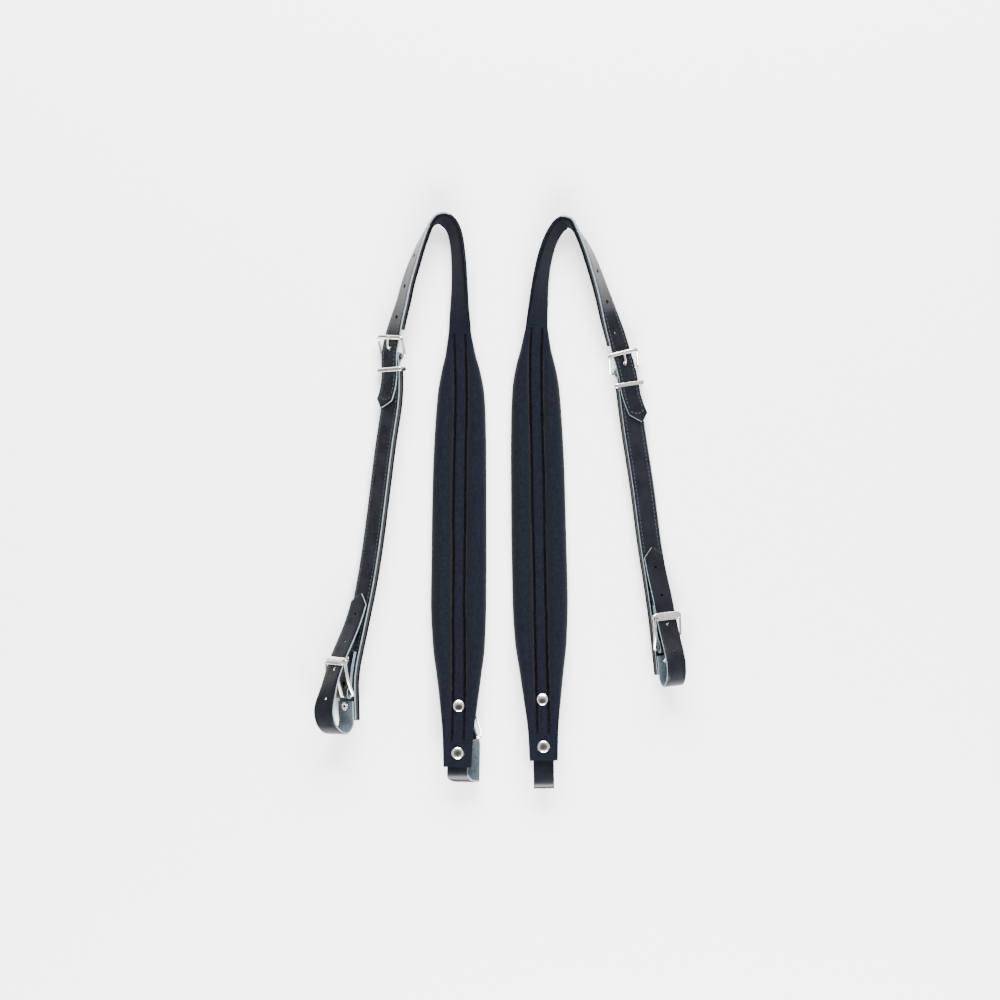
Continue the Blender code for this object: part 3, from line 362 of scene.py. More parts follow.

# %% [markdown]
# ## Finishes
# Vegetable tanned leather has a smooth black grain side, a bluish raw cut edge and a grey flesh side.
# Velvet is a dense short pile, nearly black, with hardly any gloss. Its glossless back also serves as painted
# shade in the pad's groove folds. Nickel plate is a bright, slightly warm metal. Holes get painted shade: a
# near black wall.

# %% Finishes
FINISH = {
    "grain": finish("leather grain side", (0.0018, 0.0022, 0.0034), (0.0045, 0.0054, 0.0080), (0.22, 0.34),
                    grain=(1500.0, 0.00003), shine=0.20),
    "edge": finish("raw leather edge", (0.09, 0.12, 0.14), (0.20, 0.25, 0.28), (0.6, 0.85),
                   grain=(2600.0, 0.00008), blotch=420.0),
    "flesh": finish("leather flesh side", (0.015, 0.025, 0.031), (0.042, 0.064, 0.078), (0.75, 0.95),
                    grain=(2200.0, 0.00010), blotch=500.0),
    "velvet": finish("velvet pile", (0.0017, 0.0022, 0.0046), (0.0046, 0.0057, 0.0098), (0.9, 1.0),
                     grain=(2400.0, 0.00020), blotch=420.0, sheen=0.025, shine=0.05),
    # The velvet's back and cut ends, and also painted shade: the pad's groove folds get this darker,
    # glossless velvet.
    "backing_and_groove_shade": finish("velvet backing and groove shade", (0.0020, 0.0020, 0.0028), (0.0055, 0.0052, 0.0062), (0.9, 1.0),
                      grain=(2400.0, 0.00012), blotch=300.0, shine=0.0),
    "thread": finish("waxed thread", (0.012, 0.016, 0.022), (0.032, 0.040, 0.052), (0.5, 0.7),
                     grain=(3500.0, 0.00003), blotch=800.0),
    "nickel": finish("bright nickel plate", (0.70, 0.68, 0.63), (0.86, 0.84, 0.80), (0.10, 0.24),
                     metallic=1.0, grain=(500.0, 0.000010), blotch=120.0),
    # Painted shade: the walls of punched holes and slots and the hollow of each rivet's star are near black.
    "hole": finish("hole wall painted shade", (0.002, 0.002, 0.003), (0.006, 0.006, 0.007), (0.8, 1.0)),
}
print("finishes:", ", ".join(FINISH))

# %% [markdown]
# ## Closed bodies from rows
# Most pieces here are one section carried along a line. Rows of points become quads, the two ends are
# closed, and each span of the section can have its own finish.

# %% Dress a mesh and close rows
def dressed(name, mesh, slots, sharp=38):
    """An object of the mesh, faces out, smooth but for its sharp edges, with its finishes."""
    shape = bmesh.new()
    shape.from_mesh(mesh)
    if shape.calc_volume(signed=True) < 0:
        bmesh.ops.reverse_faces(shape, faces=shape.faces)
    shape.to_mesh(mesh)
    shape.free()
    for kind in slots:
        mesh.materials.append(FINISH[kind])
    mesh.shade_smooth()
    mesh.set_sharp_from_angle(angle=math.radians(sharp))
    made = bpy.data.objects.new(name, mesh)
    bpy.context.scene.collection.objects.link(made)
    return made


def closed_mesh(name, grid, kinds, slots, ring=False):
    """A closed body from rows of points round its section. kinds gives each span's material slot."""
    grid = np.asarray(grid, float)
    rows, count = grid.shape[:2]
    index = np.arange(rows * count).reshape(rows, count)
    ahead = np.roll(index, -1, axis=0) if ring else index[1:]
    near = index if ring else index[:-1]
    faces = np.stack([near, np.roll(near, -1, 1), np.roll(ahead, -1, 1), ahead], -1).reshape(-1, 4).tolist()
    spans = np.broadcast_to(kinds, (len(near), count)).reshape(-1).tolist()
    if not ring:
        faces += [index[0][::-1].tolist(), index[-1].tolist()]
        spans += [1 if len(slots) > 1 else 0] * 2
    mesh = bpy.data.meshes.new(name)
    mesh.from_pydata(grid.reshape(-1, 3).tolist(), [], faces)
    mesh.polygons.foreach_set("material_index", spans)
    return dressed(name, mesh, slots)


print("closed bodies ready")

# %% [markdown]
# ## A cut band
# A strip cut from hide is a flat band with slightly rounded edges: grain on top, flesh below and a
# light cut line at mid edge, which is what draws its outline. A bevel modifier could round a flat
# strip, but a lofted section keeps the three finishes apart.

# %% Band section
def band(path, thicknesses, halves, place, edge=0.36, flat=6):
    """Rows of a band's section along path, and each span's kind: 0 grain, 1 edge, 2 flesh."""
    path = np.asarray(path, float)
    thicknesses = np.broadcast_to(thicknesses, len(path))
    ahead = np.gradient(path, axis=0)
    ahead /= np.linalg.norm(ahead, axis=1)[:, None]
    turn = np.radians([67.5, 45, 22.5, 0, -22.5, -45, -67.5])
    grid = []
    for (d, h), (ad, ah), half, thickness in zip(path, ahead, halves, thicknesses):
        radius = min(edge * thickness, half * 0.9)
        inner = max(half - radius, 0.05)
        body = thickness / 2 - radius
        tops = [(u, thickness / 2) for u in np.linspace(-inner, inner, flat)]
        right = [(inner + radius * math.cos(a), body * np.sign(round(math.sin(a), 3)) + radius * math.sin(a))
                 for a in turn]
        low = [(u, -thickness / 2) for u in np.linspace(inner, -inner, flat)]
        left = [(-u, o) for u, o in right[::-1]]
        grid.append([place(d - ah * o, u, h + ad * o) for u, o in tops + right + low + left])
    kinds = [0] * (flat + 1) + [1] * 4 + [2] * (flat + 3) + [1] * 4 + [0] * 2
    return grid, kinds


print("a band section has", len(band([(0, 0), (1, 0)], 2.0, (5, 5), lambda *p: p)[1]), "spans")

# %% [markdown]
# ## Punched and slotted holes
# A punch takes out a clean cylinder. A Boolean does the same to the mesh and gives the new walls the
# dark hole finish, painted shade for the inside of the hole. The cutter is longer than the leather is thick,
# so that no skin is left.

# %% Cut holes
def carved(thing, shape):
    """Takes everything in shape out of thing. The new walls get the hole finish, painted shade."""
    bmesh.ops.recalc_face_normals(shape, faces=shape.faces)
    mesh = bpy.data.meshes.new("cutter")
    shape.to_mesh(mesh)
    shape.free()
    mesh.materials.append(FINISH["hole"])
    cutter = bpy.data.objects.new("cutter", mesh)
    bpy.context.scene.collection.objects.link(cutter)
    modifier = thing.modifiers.new("holes", "BOOLEAN")
    modifier.operation, modifier.object, modifier.solver = "DIFFERENCE", cutter, "EXACT"
    modifier.material_mode = "TRANSFER"
    graph = bpy.context.evaluated_depsgraph_get()
    mesh = bpy.data.meshes.new_from_object(thing.evaluated_get(graph))
    thing.modifiers.clear()
    thing.data = mesh
    bpy.data.objects.remove(cutter)
    mesh.shade_smooth()
    mesh.set_sharp_from_angle(angle=math.radians(38))
    return thing


def punched(thing, holes, sides=20):
    """Cuts round holes, each a low and a high point and a radius in metres."""
    shape = bmesh.new()
    for low, high, radius in holes:
        low, high = Vector(low), Vector(high)
        turn = Vector((0, 0, 1)).rotation_difference(high - low).to_matrix().to_4x4()
        bmesh.ops.create_cone(shape, cap_ends=True, segments=sides, radius1=radius, radius2=radius,
                              depth=(high - low).length, matrix=Matrix.Translation((low + high) / 2) @ turn)
    return carved(thing, shape)


def boxed(points):
    """A closed box from four low and four high points."""
    shape = bmesh.new()
    corners = [shape.verts.new(point) for point in points]
    for face in ((0, 3, 2, 1), (4, 5, 6, 7), (0, 1, 5, 4), (1, 2, 6, 5), (2, 3, 7, 6), (3, 0, 4, 7)):
        shape.faces.new([corners[k] for k in face])
    return shape


print("hole cutters ready")

# %% [markdown]
# ## Stitches
# A saddle stitch is a short slanting bead of waxed thread that dips into the leather at both ends.
# Each is a small six sided bead, and all of a strap's stitches are one mesh, because nothing else
# shares their finish.

# %% Stitch helper
STITCH, STITCH_GAP, THREAD = 0.0031, 0.0010, 0.00036  # metres


def stitched(name, seams):
    """Saddle stitches along seams. A seam is a row of points and the outward directions there."""
    points, faces = [], []
    turn = np.radians(np.arange(0, 360, 60))
    bead = ((-1.1, 0.5), (-0.5, 0.95), (-0.35, 1.0), (-0.5, 0.95), (-1.1, 0.5))
    for line, outs in seams:
        line, outs = np.asarray(line, float), np.asarray(outs, float)
        reach = np.concatenate([[0], np.cumsum(np.linalg.norm(np.diff(line, axis=0), axis=1))])
        starts = np.arange(STITCH_GAP, reach[-1] - STITCH, STITCH + STITCH_GAP)
        for start in starts:
            marks = start + STITCH * np.array([0, 0.14, 0.5, 0.86, 1])
            spots = np.column_stack([np.interp(marks, reach, line[:, k]) for k in range(3)])
            out = np.array([np.interp(start, reach, outs[:, k]) for k in range(3)])
            out /= np.linalg.norm(out)
            side = np.cross(spots[-1] - spots[0], out)
            side /= np.linalg.norm(side)
            for number, (lift, size) in enumerate(bead):
                first, spot = len(points), spots[number]
                centre = spot + out * THREAD * lift
                points += [centre + THREAD * size * (math.cos(a) * side + math.sin(a) * out) for a in turn]
                if number:
                    faces += [(first - 6 + k, first - 6 + (k + 1) % 6, first + (k + 1) % 6, first + k)
                              for k in range(6)]
    mesh = bpy.data.meshes.new(name)
    mesh.from_pydata([tuple(p) for p in points], [], faces)
    return dressed(name, mesh, ["thread"], 80)


print("a stitch is", STITCH * 1000, "mm long")

# %% [markdown]
# ## Bent wire
# A buckle's frame is wire bent round soft corners and butted, with its bars pressed flatter where
# leather bears on them. One ring of sections does it: each side has its own width and thickness, and
# a flat plate is only a wide, squarer section.

# %% Bent wire
def metal_ring(name, place, half_width, low, high, corner, wires, bow=0.0, tilt=0.0):
    """A buckle frame: a bent wire with soft corners. wires: sizes of the low side, flanks, high side."""
    turns = np.radians([8, 24, 40, 56, 72, 86])
    near = [(half_width - corner * (1 - math.sin(a)), low + corner * (1 - math.cos(a))) for a in turns]
    far = [(half_width - corner * (1 - math.cos(a)), high - corner * (1 - math.sin(a))) for a in turns]
    straight = high - low - 2 * corner
    between = [(half_width, low + corner + straight * s) for s in (0.15, 0.35, 0.5, 0.65, 0.85)]
    across = [(half_width - corner) * s for s in (0.3, 0.6, 0.9)]
    half = [(0, low)] + [(x, low) for x in across] + near + between + far
    half += [(x, high) for x in across[::-1]] + [(0, high)]
    path = np.array(half + [(-x, y) for x, y in half[-2:0:-1]], float)
    rows = []
    for i, (x, y) in enumerate(path):
        ahead = path[(i + 1) % len(path)] - path[i - 1]
        ahead /= np.linalg.norm(ahead)
        share = min(max((y - low) / (high - low), 0.0), 1.0)
        flat = abs(ahead[0])
        ends = wires[0] if share < 0.5 else wires[2]
        wide, thick = (wires[1][k] * (1 - flat) + ends[k] * flat for k in range(2))
        boxy = 0.45 if wide > 2 * thick else 1.0
        turned = tilt * flat if share > 0.5 else 0.0
        row = []
        for angle in np.radians(np.arange(0, 360, 22.5) + 11.25):
            c, s = math.cos(angle), math.sin(angle)
            out = wide / 2 * math.copysign(abs(c) ** boxy, c)
            up = thick / 2 * math.copysign(abs(s) ** boxy, s)
            side, forth = out * ahead[1], -out * ahead[0]
            rise = bow * math.sin(math.pi * share)
            row.append(place(x + side, y + forth * math.cos(turned) - up * math.sin(turned),
                             forth * math.sin(turned) + up * math.cos(turned) + rise))
        rows.append(row)
    return closed_mesh(name, rows, [0] * 16, ["nickel"], ring=True)


print("wire rings ready")

# %% [markdown]
# ## Round pieces
# Rivets are turned or pressed round an axis. Rows of points about the axis close to a single point at
# each end.

# %% Turned pieces
def turned_piece(name, rows, slots, kinds):
    """A closed body from rows round an axis. Its first and last row are single points."""
    count = len(rows[1])
    points = [rows[0][0]] + [p for row in rows[1:-1] for p in row] + [rows[-1][0]]
    last = len(points) - 1
    faces, spans = [], []
    for i in range(len(rows) - 1):
        for j in range(count):
            a, b = 1 + (i - 1) * count + j, 1 + (i - 1) * count + (j + 1) % count
            c, d = b + count, a + count
            faces.append((0, d, c) if i == 0 else (a, b, last) if i == len(rows) - 2 else (a, b, c, d))
            spans.append(kinds[i])
    mesh = bpy.data.meshes.new(name)
    mesh.from_pydata([tuple(p) for p in points], [], faces)
    mesh.polygons.foreach_set("material_index", spans)
    return dressed(name, mesh, slots)


print("turned pieces ready")

# %% [markdown]
# ## One strap's places
# The strap knows its route and its side. Pieces are made where they lie at rest, in the frame's own
# space, and handed to the body that carries them, so that they follow it at every pose.

# %% Strap
class Strap:
    """One strap: its route, its marked distances and the stitches sewn so far."""

    def __init__(self, side, plan):
        self.side, self.plan, self.route = side, plan, Route(plan["route"])
        self.mirror = -1.0 if side == "right" else 1.0
        self.hole = plan["hole_in_use"]
        self.heel, self.tip = self.hole + HEEL_BEHIND_HOLE, self.hole + TIP_REACH
        self.lining_end = self.hole - BUCKLE_LENGTH + HEEL_BEHIND_HOLE - 8.0
        self.seams = []

    def world(self, point):
        x, y, z = point
        shifted = np.array((x * self.mirror, y, z)) + PAIR_SHIFT
        return tuple(float(v) / 1000 for v in shifted)

    def place(self, distance, across, height):
        return self.world(self.route.point(distance, across, height))

    def show(self, made, body, nodes, kind):
        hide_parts(*[self.side + "_" + n for n in nodes])
        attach(made, self.side + "_" + body)
        return made

    def stations(self, start, end, step=3.0):
        return np.linspace(start, end, max(3, int(round((end - start) / step)) + 1))


strap_pair = [Strap(side, plan) for side, plan in STRAPS.items()]
print("holes in use at", [strap.hole for strap in strap_pair], "mm")

# %% [markdown]
# ## The long leather
# One cut piece runs from the pad's end to the pointed tip. Its outline follows the pad, then narrows
# to the billet, and the last part is free to swing aside. Every hole is punched, also those for the
# rivets.

# %% Widths of the long leather
def pad_half(distance):
    outline = np.array(PAD_OUTLINE, float)
    return steady(outline[:, 0], outline[:, 1], np.clip(distance, 0, PAD_LENGTH))


def leather_half(strap, distance):
    billet = BILLET_WIDTH / 2
    start = float(pad_half(PAD_LENGTH)) - HEM
    wide = float(pad_half(distance)) - HEM if distance < PAD_LENGTH else (
        start + (billet - start) * min((distance - PAD_LENGTH) / PAD_HEAD, 1.0))
    left = strap.tip - distance
    return max(min(wide, billet * left / POINT_LENGTH + 0.8), 0.8) if left < POINT_LENGTH else wide


print("pad half width at 200 mm:", round(float(pad_half(200.0)), 1), "mm")

# %% [markdown]
# ## The swinging billet
# Past the keeper nothing holds the billet, so its tip wanders outward and lifts a little. Holes are
# placed through the same function, so they stay on the billet's middle line.

# %% Billet
def swung(strap, distance):
    keeper = strap.hole + KEEPER_BEHIND_HOLE
    share = max(distance - keeper - 4.0, 0.0) / (strap.tip - keeper - 4.0)
    return -strap.plan["swing"] * share**1.6, 1.6 * share**2


def billet_place(strap, distance, across, height):
    side, lift = swung(strap, distance)
    return strap.place(distance, across + side, height + lift)


def hole_line(strap, distance, radius, low=-12.0, high=6.0):
    return billet_place(strap, distance, 0, low), billet_place(strap, distance, 0, high), radius / 1000


print("tip swings", [strap.plan["swing"] for strap in strap_pair], "mm")

# %% [markdown]
# ## Lofting and punching it
# The leather's cut edge shows light only where it is bare. Up to the top bend the velvet's hem wraps
# it, so those spans are dark.

# %% Long leather
def long_leather(strap):
    shoulder = strap.tip - POINT_LENGTH
    spots = np.concatenate([strap.stations(0, shoulder), strap.stations(strap.tip - 8.6, strap.tip, 0.8)])
    path = np.column_stack([spots, np.full(len(spots), GAP / 2 + LEATHER / 2)])
    grid, kinds = band(path, LEATHER, [leather_half(strap, d) for d in spots],
                       lambda *spot: billet_place(strap, *spot))
    crown = float(spots[np.argmax([strap.route.frame(d)[0][1] for d in spots])])
    spans = [[3 if kind == 1 and d < crown - 6 else kind for kind in kinds] for d in spots[:-1]]
    made = closed_mesh(strap.side + "_long_leather_look", grid, spans, ["grain", "edge", "flesh", "velvet"])
    holes = [hole_line(strap, strap.hole - n * HOLE_PITCH, HOLE_RADIUS) for n in range(HOLE_COUNT)]
    holes += [hole_line(strap, d, RIVET_HOLE) for d in (RIVET_NEAR, RIVET_FAR)]
    punched(made, holes)
    strap.show(made, "strap", ["long_leather"], "leather")


for strap in strap_pair:
    long_leather(strap)
print("long leathers made")

# %% [markdown]
# ## Velvet linings
# The velvet that lines the narrow leather and the lower strap is a thin felt with pile on its
# outside. Where it meets the pad it starts out thinner, so that the two run into each other as on one
# sewn cover.

# %% Velvet band
def velvet_band(strap, name, start, end, half, top, holes, nodes, thin=0.0):
    """The velvet's pile faces away from the leather. thin is how far it starts out thinner."""
    spots = strap.stations(start, end)
    thick = LINING - thin * (1 - steep(np.clip((spots - start) / 30.0, 0, 1)))
    path = np.column_stack([spots, top - thick / 2])
    grid, kinds = band(path[::-1], thick[::-1], np.full(len(spots), half), strap.place, edge=0.46, flat=8)
    made = closed_mesh(strap.side + name, grid, kinds, ["velvet", "velvet", "backing_and_groove_shade"])
    if holes:
        punched(made, holes)
    strap.show(made, "strap", nodes, "velvet")


print("velvet band helper ready")

# %% [markdown]
# ## The upper lining
# It runs from the pad to just before the buckle, and the billet's holes go through it.

# %% Upper lining
def upper_lining(strap):
    holes = [hole_line(strap, strap.hole - n * HOLE_PITCH, HOLE_RADIUS) for n in range(1, HOLE_COUNT)]
    velvet_band(strap, "_upper_lining_look", PAD_LENGTH - 0.5, strap.lining_end, NARROW_LINING_WIDTH / 2,
                     -GAP / 2, holes, ["upper_lining"], thin=1.85)


for strap in strap_pair:
    upper_lining(strap)
print("upper linings made")

# %% [markdown]
# ## The pad's shape
# Two foam lobes fill the cover on either side of a flat channel. They rise from the rivet tab, stay
# full over the shoulder and run out at the top. Two lines of stitches pull the velvet down into
# grooves and leave a low ridge between them. A pressure simulation would round the lobes too, but it
# wipes out the grooves, so the form is written as a height over the width, with small creases from
# noise.

# %% Height of the pad
def lobe_height(distance):
    near = np.clip((distance - PAD_TAB) / PAD_FOOT, 0, 1)
    far = np.clip((PAD_LENGTH + 1.0 - distance) / PAD_HEAD, 0, 1)
    return LOBE_HEIGHT * min(math.sin(near * math.pi / 2), math.sin(far * math.pi / 2))


def pad_top(strap, distance, across):
    """How high the velvet stands above the leather, with its two grooves and the ridge between."""
    half, rise = float(pad_half(distance)), lobe_height(distance)
    base = -CHANNEL_TOP - GAP / 2
    u = abs(across)
    inner = min(CHANNEL, half - 3.0)
    groove = GROOVE if half > 9 else half * 0.6
    if u > inner:
        share = min(max((u - inner) / (half - 0.3 - inner), 0.0), 1.0)
        crease = noise.noise(Vector((across * 0.16, distance * 0.035, 3.0 if strap.mirror > 0 else 9.0)))
        return base + (rise * (4 * share * (1 - share)) ** 0.6) * (1 + 0.05 * crease)
    shoulder = max(0.0, 1 - (u / (groove - 0.6)) ** 2)
    ridge = min(rise * 0.30, RIDGE_HEIGHT) * shoulder**0.5 if u < groove - 0.6 else 0.0
    depth = 1.0 * float(np.clip((distance - 24) / 4.0, 0, 1))
    return base + ridge - depth * math.exp(-(((u - groove) / 0.8) ** 2))


print("lobe height at 200 mm:", round(float(lobe_height(200.0)), 1), "mm")

# %% [markdown]
# ## The pad's cover
# The cover is one closed body over the channel and both lobes, hemmed round the leather's edge. The
# folds at the grooves get painted shade: the velvet's darker, glossless backing finish, because light does
# not get into them.

# %% Pad cover
def pad_cover(strap):
    lobe = np.linspace(0.30, 1, 22)
    across = np.concatenate([-lobe[::-1], np.linspace(-0.285, 0.285, 31), lobe])
    spots = strap.stations(0.0, PAD_LENGTH, 2.2)
    grid = []
    for distance in spots:
        half = float(pad_half(distance))
        us = across * half
        tops = [pad_top(strap, distance, u) - (0.45 if abs(u) > half - HEM else 0.0) for u in us]
        upper = [strap.place(distance, u, -GAP / 2 - h) for u, h in zip(us, tops)]
        lower = [strap.place(distance, u, -GAP / 2 - 0.02) for u in us[::-6]]
        grid.append(upper + lower)
    middles = np.abs(across[1:] + across[:-1]) / 2
    # Painted shade: spans near each groove get the darker backing finish instead of the velvet.
    groove_shade = [[int(abs(m * float(pad_half(d)) - GROOVE) < GROOVE_SHADE_REACH and d > 26) for m in middles]
             + [0] * (len(grid[0]) - len(middles)) for d in spots[:-1]]
    made = closed_mesh(strap.side + "_pad_look", grid, groove_shade, ["velvet", "backing_and_groove_shade"])
    punched(made, [(strap.place(d, 0, -9), strap.place(d, 0, 3), RIVET_HOLE / 1000)
                   for d in (RIVET_NEAR, RIVET_FAR)])
    strap.show(made, "strap", ["pad_velvet", "pad_foam_inner", "pad_foam_outer"], "velvet")


for strap in strap_pair:
    pad_cover(strap)
print("pads made")

# %% [markdown]
# ## The lower leather
# The lower strap's end turns back round the buckle's heel bar, and a slot in the fold lets the prong
# through. The fold is part of the same band, so the grain runs round the bar as it really does.

# %% Lower leather
def lower_leather(strap):
    bar = LOWER_FACE - LEATHER - BAR_GAP - BUCKLE_WIRE / 2
    turn = BUCKLE_WIRE / 2 + BAR_GAP + LEATHER / 2
    level = LOWER_FACE - LEATHER / 2
    tail = level - LEATHER - GAP
    bow = [(strap.heel - turn * math.sin(math.radians(a)), bar - turn * math.cos(math.radians(a)))
           for a in range(-10, 171, 20)]
    fold = [(strap.heel + TAIL, tail), (strap.heel + 6.5, tail - 0.5)] + bow + [(strap.heel + 3.0, level)]
    fold = along(fold, 1.2)
    rest = strap.stations(strap.heel + 6.0, strap.route.length)
    path = np.vstack([fold, np.column_stack([rest, np.full(len(rest), level)])])
    halves = np.interp(path[:, 0], [strap.heel + 3.0, strap.heel + 10.0],
                       [BILLET_WIDTH / 2, LOWER_LEATHER_WIDTH / 2])
    halves[: len(fold)] = BILLET_WIDTH / 2
    grid, kinds = band(path, LEATHER, halves, strap.place)
    made = closed_mesh(strap.side + "_lower_leather_look", grid, kinds, ["grain", "edge", "flesh"])
    slot = PRONG_SLOT
    near, far = strap.heel - 9, strap.heel + 4.5
    lows = [(near, -slot), (far, -slot), (far, slot), (near, slot)]
    carved(made, boxed([strap.place(d, u, height) for height in (bar - 7.0, 2.0) for d, u in lows]))
    punched(made, [(strap.place(strap.route.length - d, 0, -9), strap.place(strap.route.length - d, 0, 3),
                    RIVET_HOLE / 1000) for d in (RIVET_NEAR, RIVET_FAR)])
    strap.show(made, "strap", ["lower_leather"], "leather")


for strap in strap_pair:
    lower_leather(strap)
print("lower leathers made")

# %% [markdown]
# ## The lower lining
# The same velvet backs the lower strap. It is wider than the leather, so a dark rim shows beside it.

# %% Lower lining
def lower_lining(strap):
    holes = [(strap.place(strap.route.length - d, 0, -12), strap.place(strap.route.length - d, 0, 3),
              RIVET_HOLE / 1000) for d in (RIVET_NEAR, RIVET_FAR)]
    velvet_band(strap, "_lower_lining_look", strap.heel + TAIL + 3.0, strap.route.length,
                     LOWER_LINING_WIDTH / 2, LINING_TOP, holes, ["lower_lining"])


for strap in strap_pair:
    lower_lining(strap)
print("lower linings made")

# %% [markdown]
# ## Seats for the metal
# A buckle is stiff, so it has its own three axes: across, along and outward from its heel bar. Two
# points on the strap fix them, and everything on the buckle is then written in those axes.

# %% Axes of a stiff piece
def rigid_axes(origin, ahead, beside):
    along_axis = (ahead - origin) / np.linalg.norm(ahead - origin)
    across = beside - origin
    across = across - along_axis * np.dot(across, along_axis)
    across /= np.linalg.norm(across)
    return origin, across, along_axis, np.cross(across, along_axis)


def seat_on(strap, axes, x, y, z):
    return strap.world(axes[0] + axes[1] * x + axes[2] * y + axes[3] * z)


def in_axes(axes, spot):
    gone = spot - axes[0]
    return float(gone @ axes[2]), float(gone @ axes[3])


print("axes of a level piece:", rigid_axes(np.zeros(3), np.array([1.0, 0, 0]), np.array([0, 1.0, 0]))[3])

# %% [markdown]
# ## Prongs and tongues
# A prong is a pin whose end is bent to an eye round the bar. The eye and the arm are one tapering
# band, with a thick rounded section.

# %% Pins
def eye_bend(bar_radius, thickness, away):
    radius = bar_radius * 1.09 + GAP + thickness / 2
    return [(radius * math.cos(math.radians(a)), radius * math.sin(math.radians(a)))
            for a in np.arange(away + 300, away - 1, -15)]


def metal_tongue(strap, name, axes, eye, arm, thickness, widths, body, node_name):
    path = np.vstack([np.array(eye), along([eye[-1], *arm], 1.2)[1:]])
    spread = np.interp(np.linspace(0, 1, len(path)), np.linspace(0, 1, len(widths)), widths)
    spread[-3:] *= (0.93, 0.8, 0.55)
    grid, kinds = band(path, thickness, spread, lambda y, x, z: seat_on(strap, axes, x, y, z),
                       edge=0.49, flat=4)
    made = closed_mesh(strap.side + name, grid, [0] * len(kinds), ["nickel"])
    strap.show(made, body, [node_name], "nickel")


print("an eye has", len(eye_bend(BUCKLE_WIRE / 2, PRONG, 55)), "points")

# %% [markdown]
# ## The main buckle
# The frame turns on its heel bar in the fold of the lower leather. The billet comes over the front
# bar and the prong drops through the hole in use. The front bar is a little wider, since the prong
# rests on it.

# %% Main buckle
def main_axes(strap):
    bar = LOWER_FACE - LEATHER - BAR_GAP - BUCKLE_WIRE / 2
    front = OUTER + BAR_GAP + 0.3 + BUCKLE_WIRE / 2
    reach = math.sqrt(BUCKLE_LENGTH**2 - (front - bar) ** 2)
    return rigid_axes(strap.route.point(strap.heel, 0, bar), strap.route.point(strap.heel - reach, 0, front),
                      strap.route.point(strap.heel, 1, bar))


def main_buckle(strap):
    axes = main_axes(strap)
    wire = (BUCKLE_WIRE, BUCKLE_WIRE)
    made = metal_ring(strap.side + "_main_frame_look", lambda x, y, z: seat_on(strap, axes, x, y, z),
                      BUCKLE_WIDTH / 2 - BUCKLE_WIRE / 2, 0, BUCKLE_LENGTH, 3.0,
                      (wire, wire, (BUCKLE_WIRE + FRONT_BAR_EXTRA, BUCKLE_WIRE)))
    strap.show(made, "buckle_frame", ["main_frame"], "nickel")
    hole_low = in_axes(axes, strap.route.point(strap.hole, 0, -1.6))
    hole_high = in_axes(axes, strap.route.point(strap.hole, 0, OUTER + 1.7))
    front = (BUCKLE_LENGTH - 1.0, BUCKLE_WIRE / 2 + GAP + PRONG / 2 + 0.35)
    tip = (BUCKLE_LENGTH + 2.6, BUCKLE_WIRE / 2 + GAP + PRONG / 2)
    middle = tuple(np.array(hole_high) * 0.55 + np.array(front) * 0.45 + np.array((0, 0.45)))
    metal_tongue(strap, "_main_prong_look", axes, eye_bend(BUCKLE_WIRE / 2, PRONG, 55),
                      [hole_low, hole_high, middle, front, tip], PRONG,
                      (1.5, 1.5, 1.3, 1.25, 0.95), "buckle_prong", "main_prong")


for strap in strap_pair:
    main_buckle(strap)
print("main buckles made")

# %% [markdown]
# ## The keeper
# A thin band of nickel holds the billet's loose end down. It slides on the strap, so it rides its own
# body.

# %% Keeper
def keeper_loop(strap):
    distance = strap.hole + KEEPER_BEHIND_HOLE
    _, direction, width, outward = strap.route.frame(distance)
    axes = (strap.route.point(distance, 0, 0), width, outward, direction)
    band_size = (KEEPER_BAND, KEEPER_LENGTH)
    made = metal_ring(strap.side + "_keeper_look", lambda x, y, z: seat_on(strap, axes, x, y, z),
                      KEEPER_WIDTH / 2 - KEEPER_BAND / 2, LINING_BOTTOM - GAP - KEEPER_BAND / 2,
                      OUTER + GAP + KEEPER_BAND / 2, 2.0, (band_size, band_size, band_size))
    strap.show(made, "keeper", ["keeper"], "nickel")


for strap in strap_pair:
    keeper_loop(strap)
print("keepers made")

# %% [markdown]
# ## An end loop's places
# Each end has a small strip that goes round the instrument's bracket and closes in a little buckle.
# One of them is swivelled about its rivet and one is twisted, so the places are functions: pieces
# stay straight in their own terms, and the functions lay them down.

# %% End loop
class EndLoop:
    """One end of a strap: how its own pieces are laid down."""

    def __init__(self, strap, label, face, inner_face, forward):
        self.strap, self.label, self.name = strap, label, strap.side + "_" + label
        self.face, self.inner_face = face, inner_face
        self.rise, self.plate_height, self.nose, swivel, twist = strap.plan[label]
        self.start, self.sign = (0.0, 1) if forward else (strap.route.length, -1)
        self.turn, self.twist = math.radians(swivel), math.radians(twist)

    def raw(self, up, across, height):
        return self.strap.route.point(self.start + self.sign * up, across, self.face + height)

    def swivelled(self, up, across, height):
        arm = up - RIVET_FAR
        return self.raw(RIVET_FAR + arm * math.cos(self.turn) + across * math.sin(self.turn),
                        across * math.cos(self.turn) - arm * math.sin(self.turn), height)

    def aside(self, up, height):
        """How far the swivel has carried the raised part of the strip sideways."""
        reach = min(max(RIVET_FAR - up, 0.0) * math.tan(self.turn), 12.0)
        return reach * float(np.clip((height - 2.5) / 7.0, 0, 1))

    def strip_place(self, up, across, height):
        raised, close = np.clip(((height - 4) / (0.5 * self.rise), (44 - up) / 32.0), 0, 1)
        angle = self.twist * steep(raised) * steep(close)
        return self.strap.world(self.raw(up, across * math.cos(angle) + self.aside(up, height),
                                         height - across * math.sin(angle)))

    def through(self, up, low, high, radius):
        """A hole across the strip's fixed layers."""
        world = self.strap.world
        return world(self.raw(up, 0, low)), world(self.raw(up, 0, high)), radius / 1000


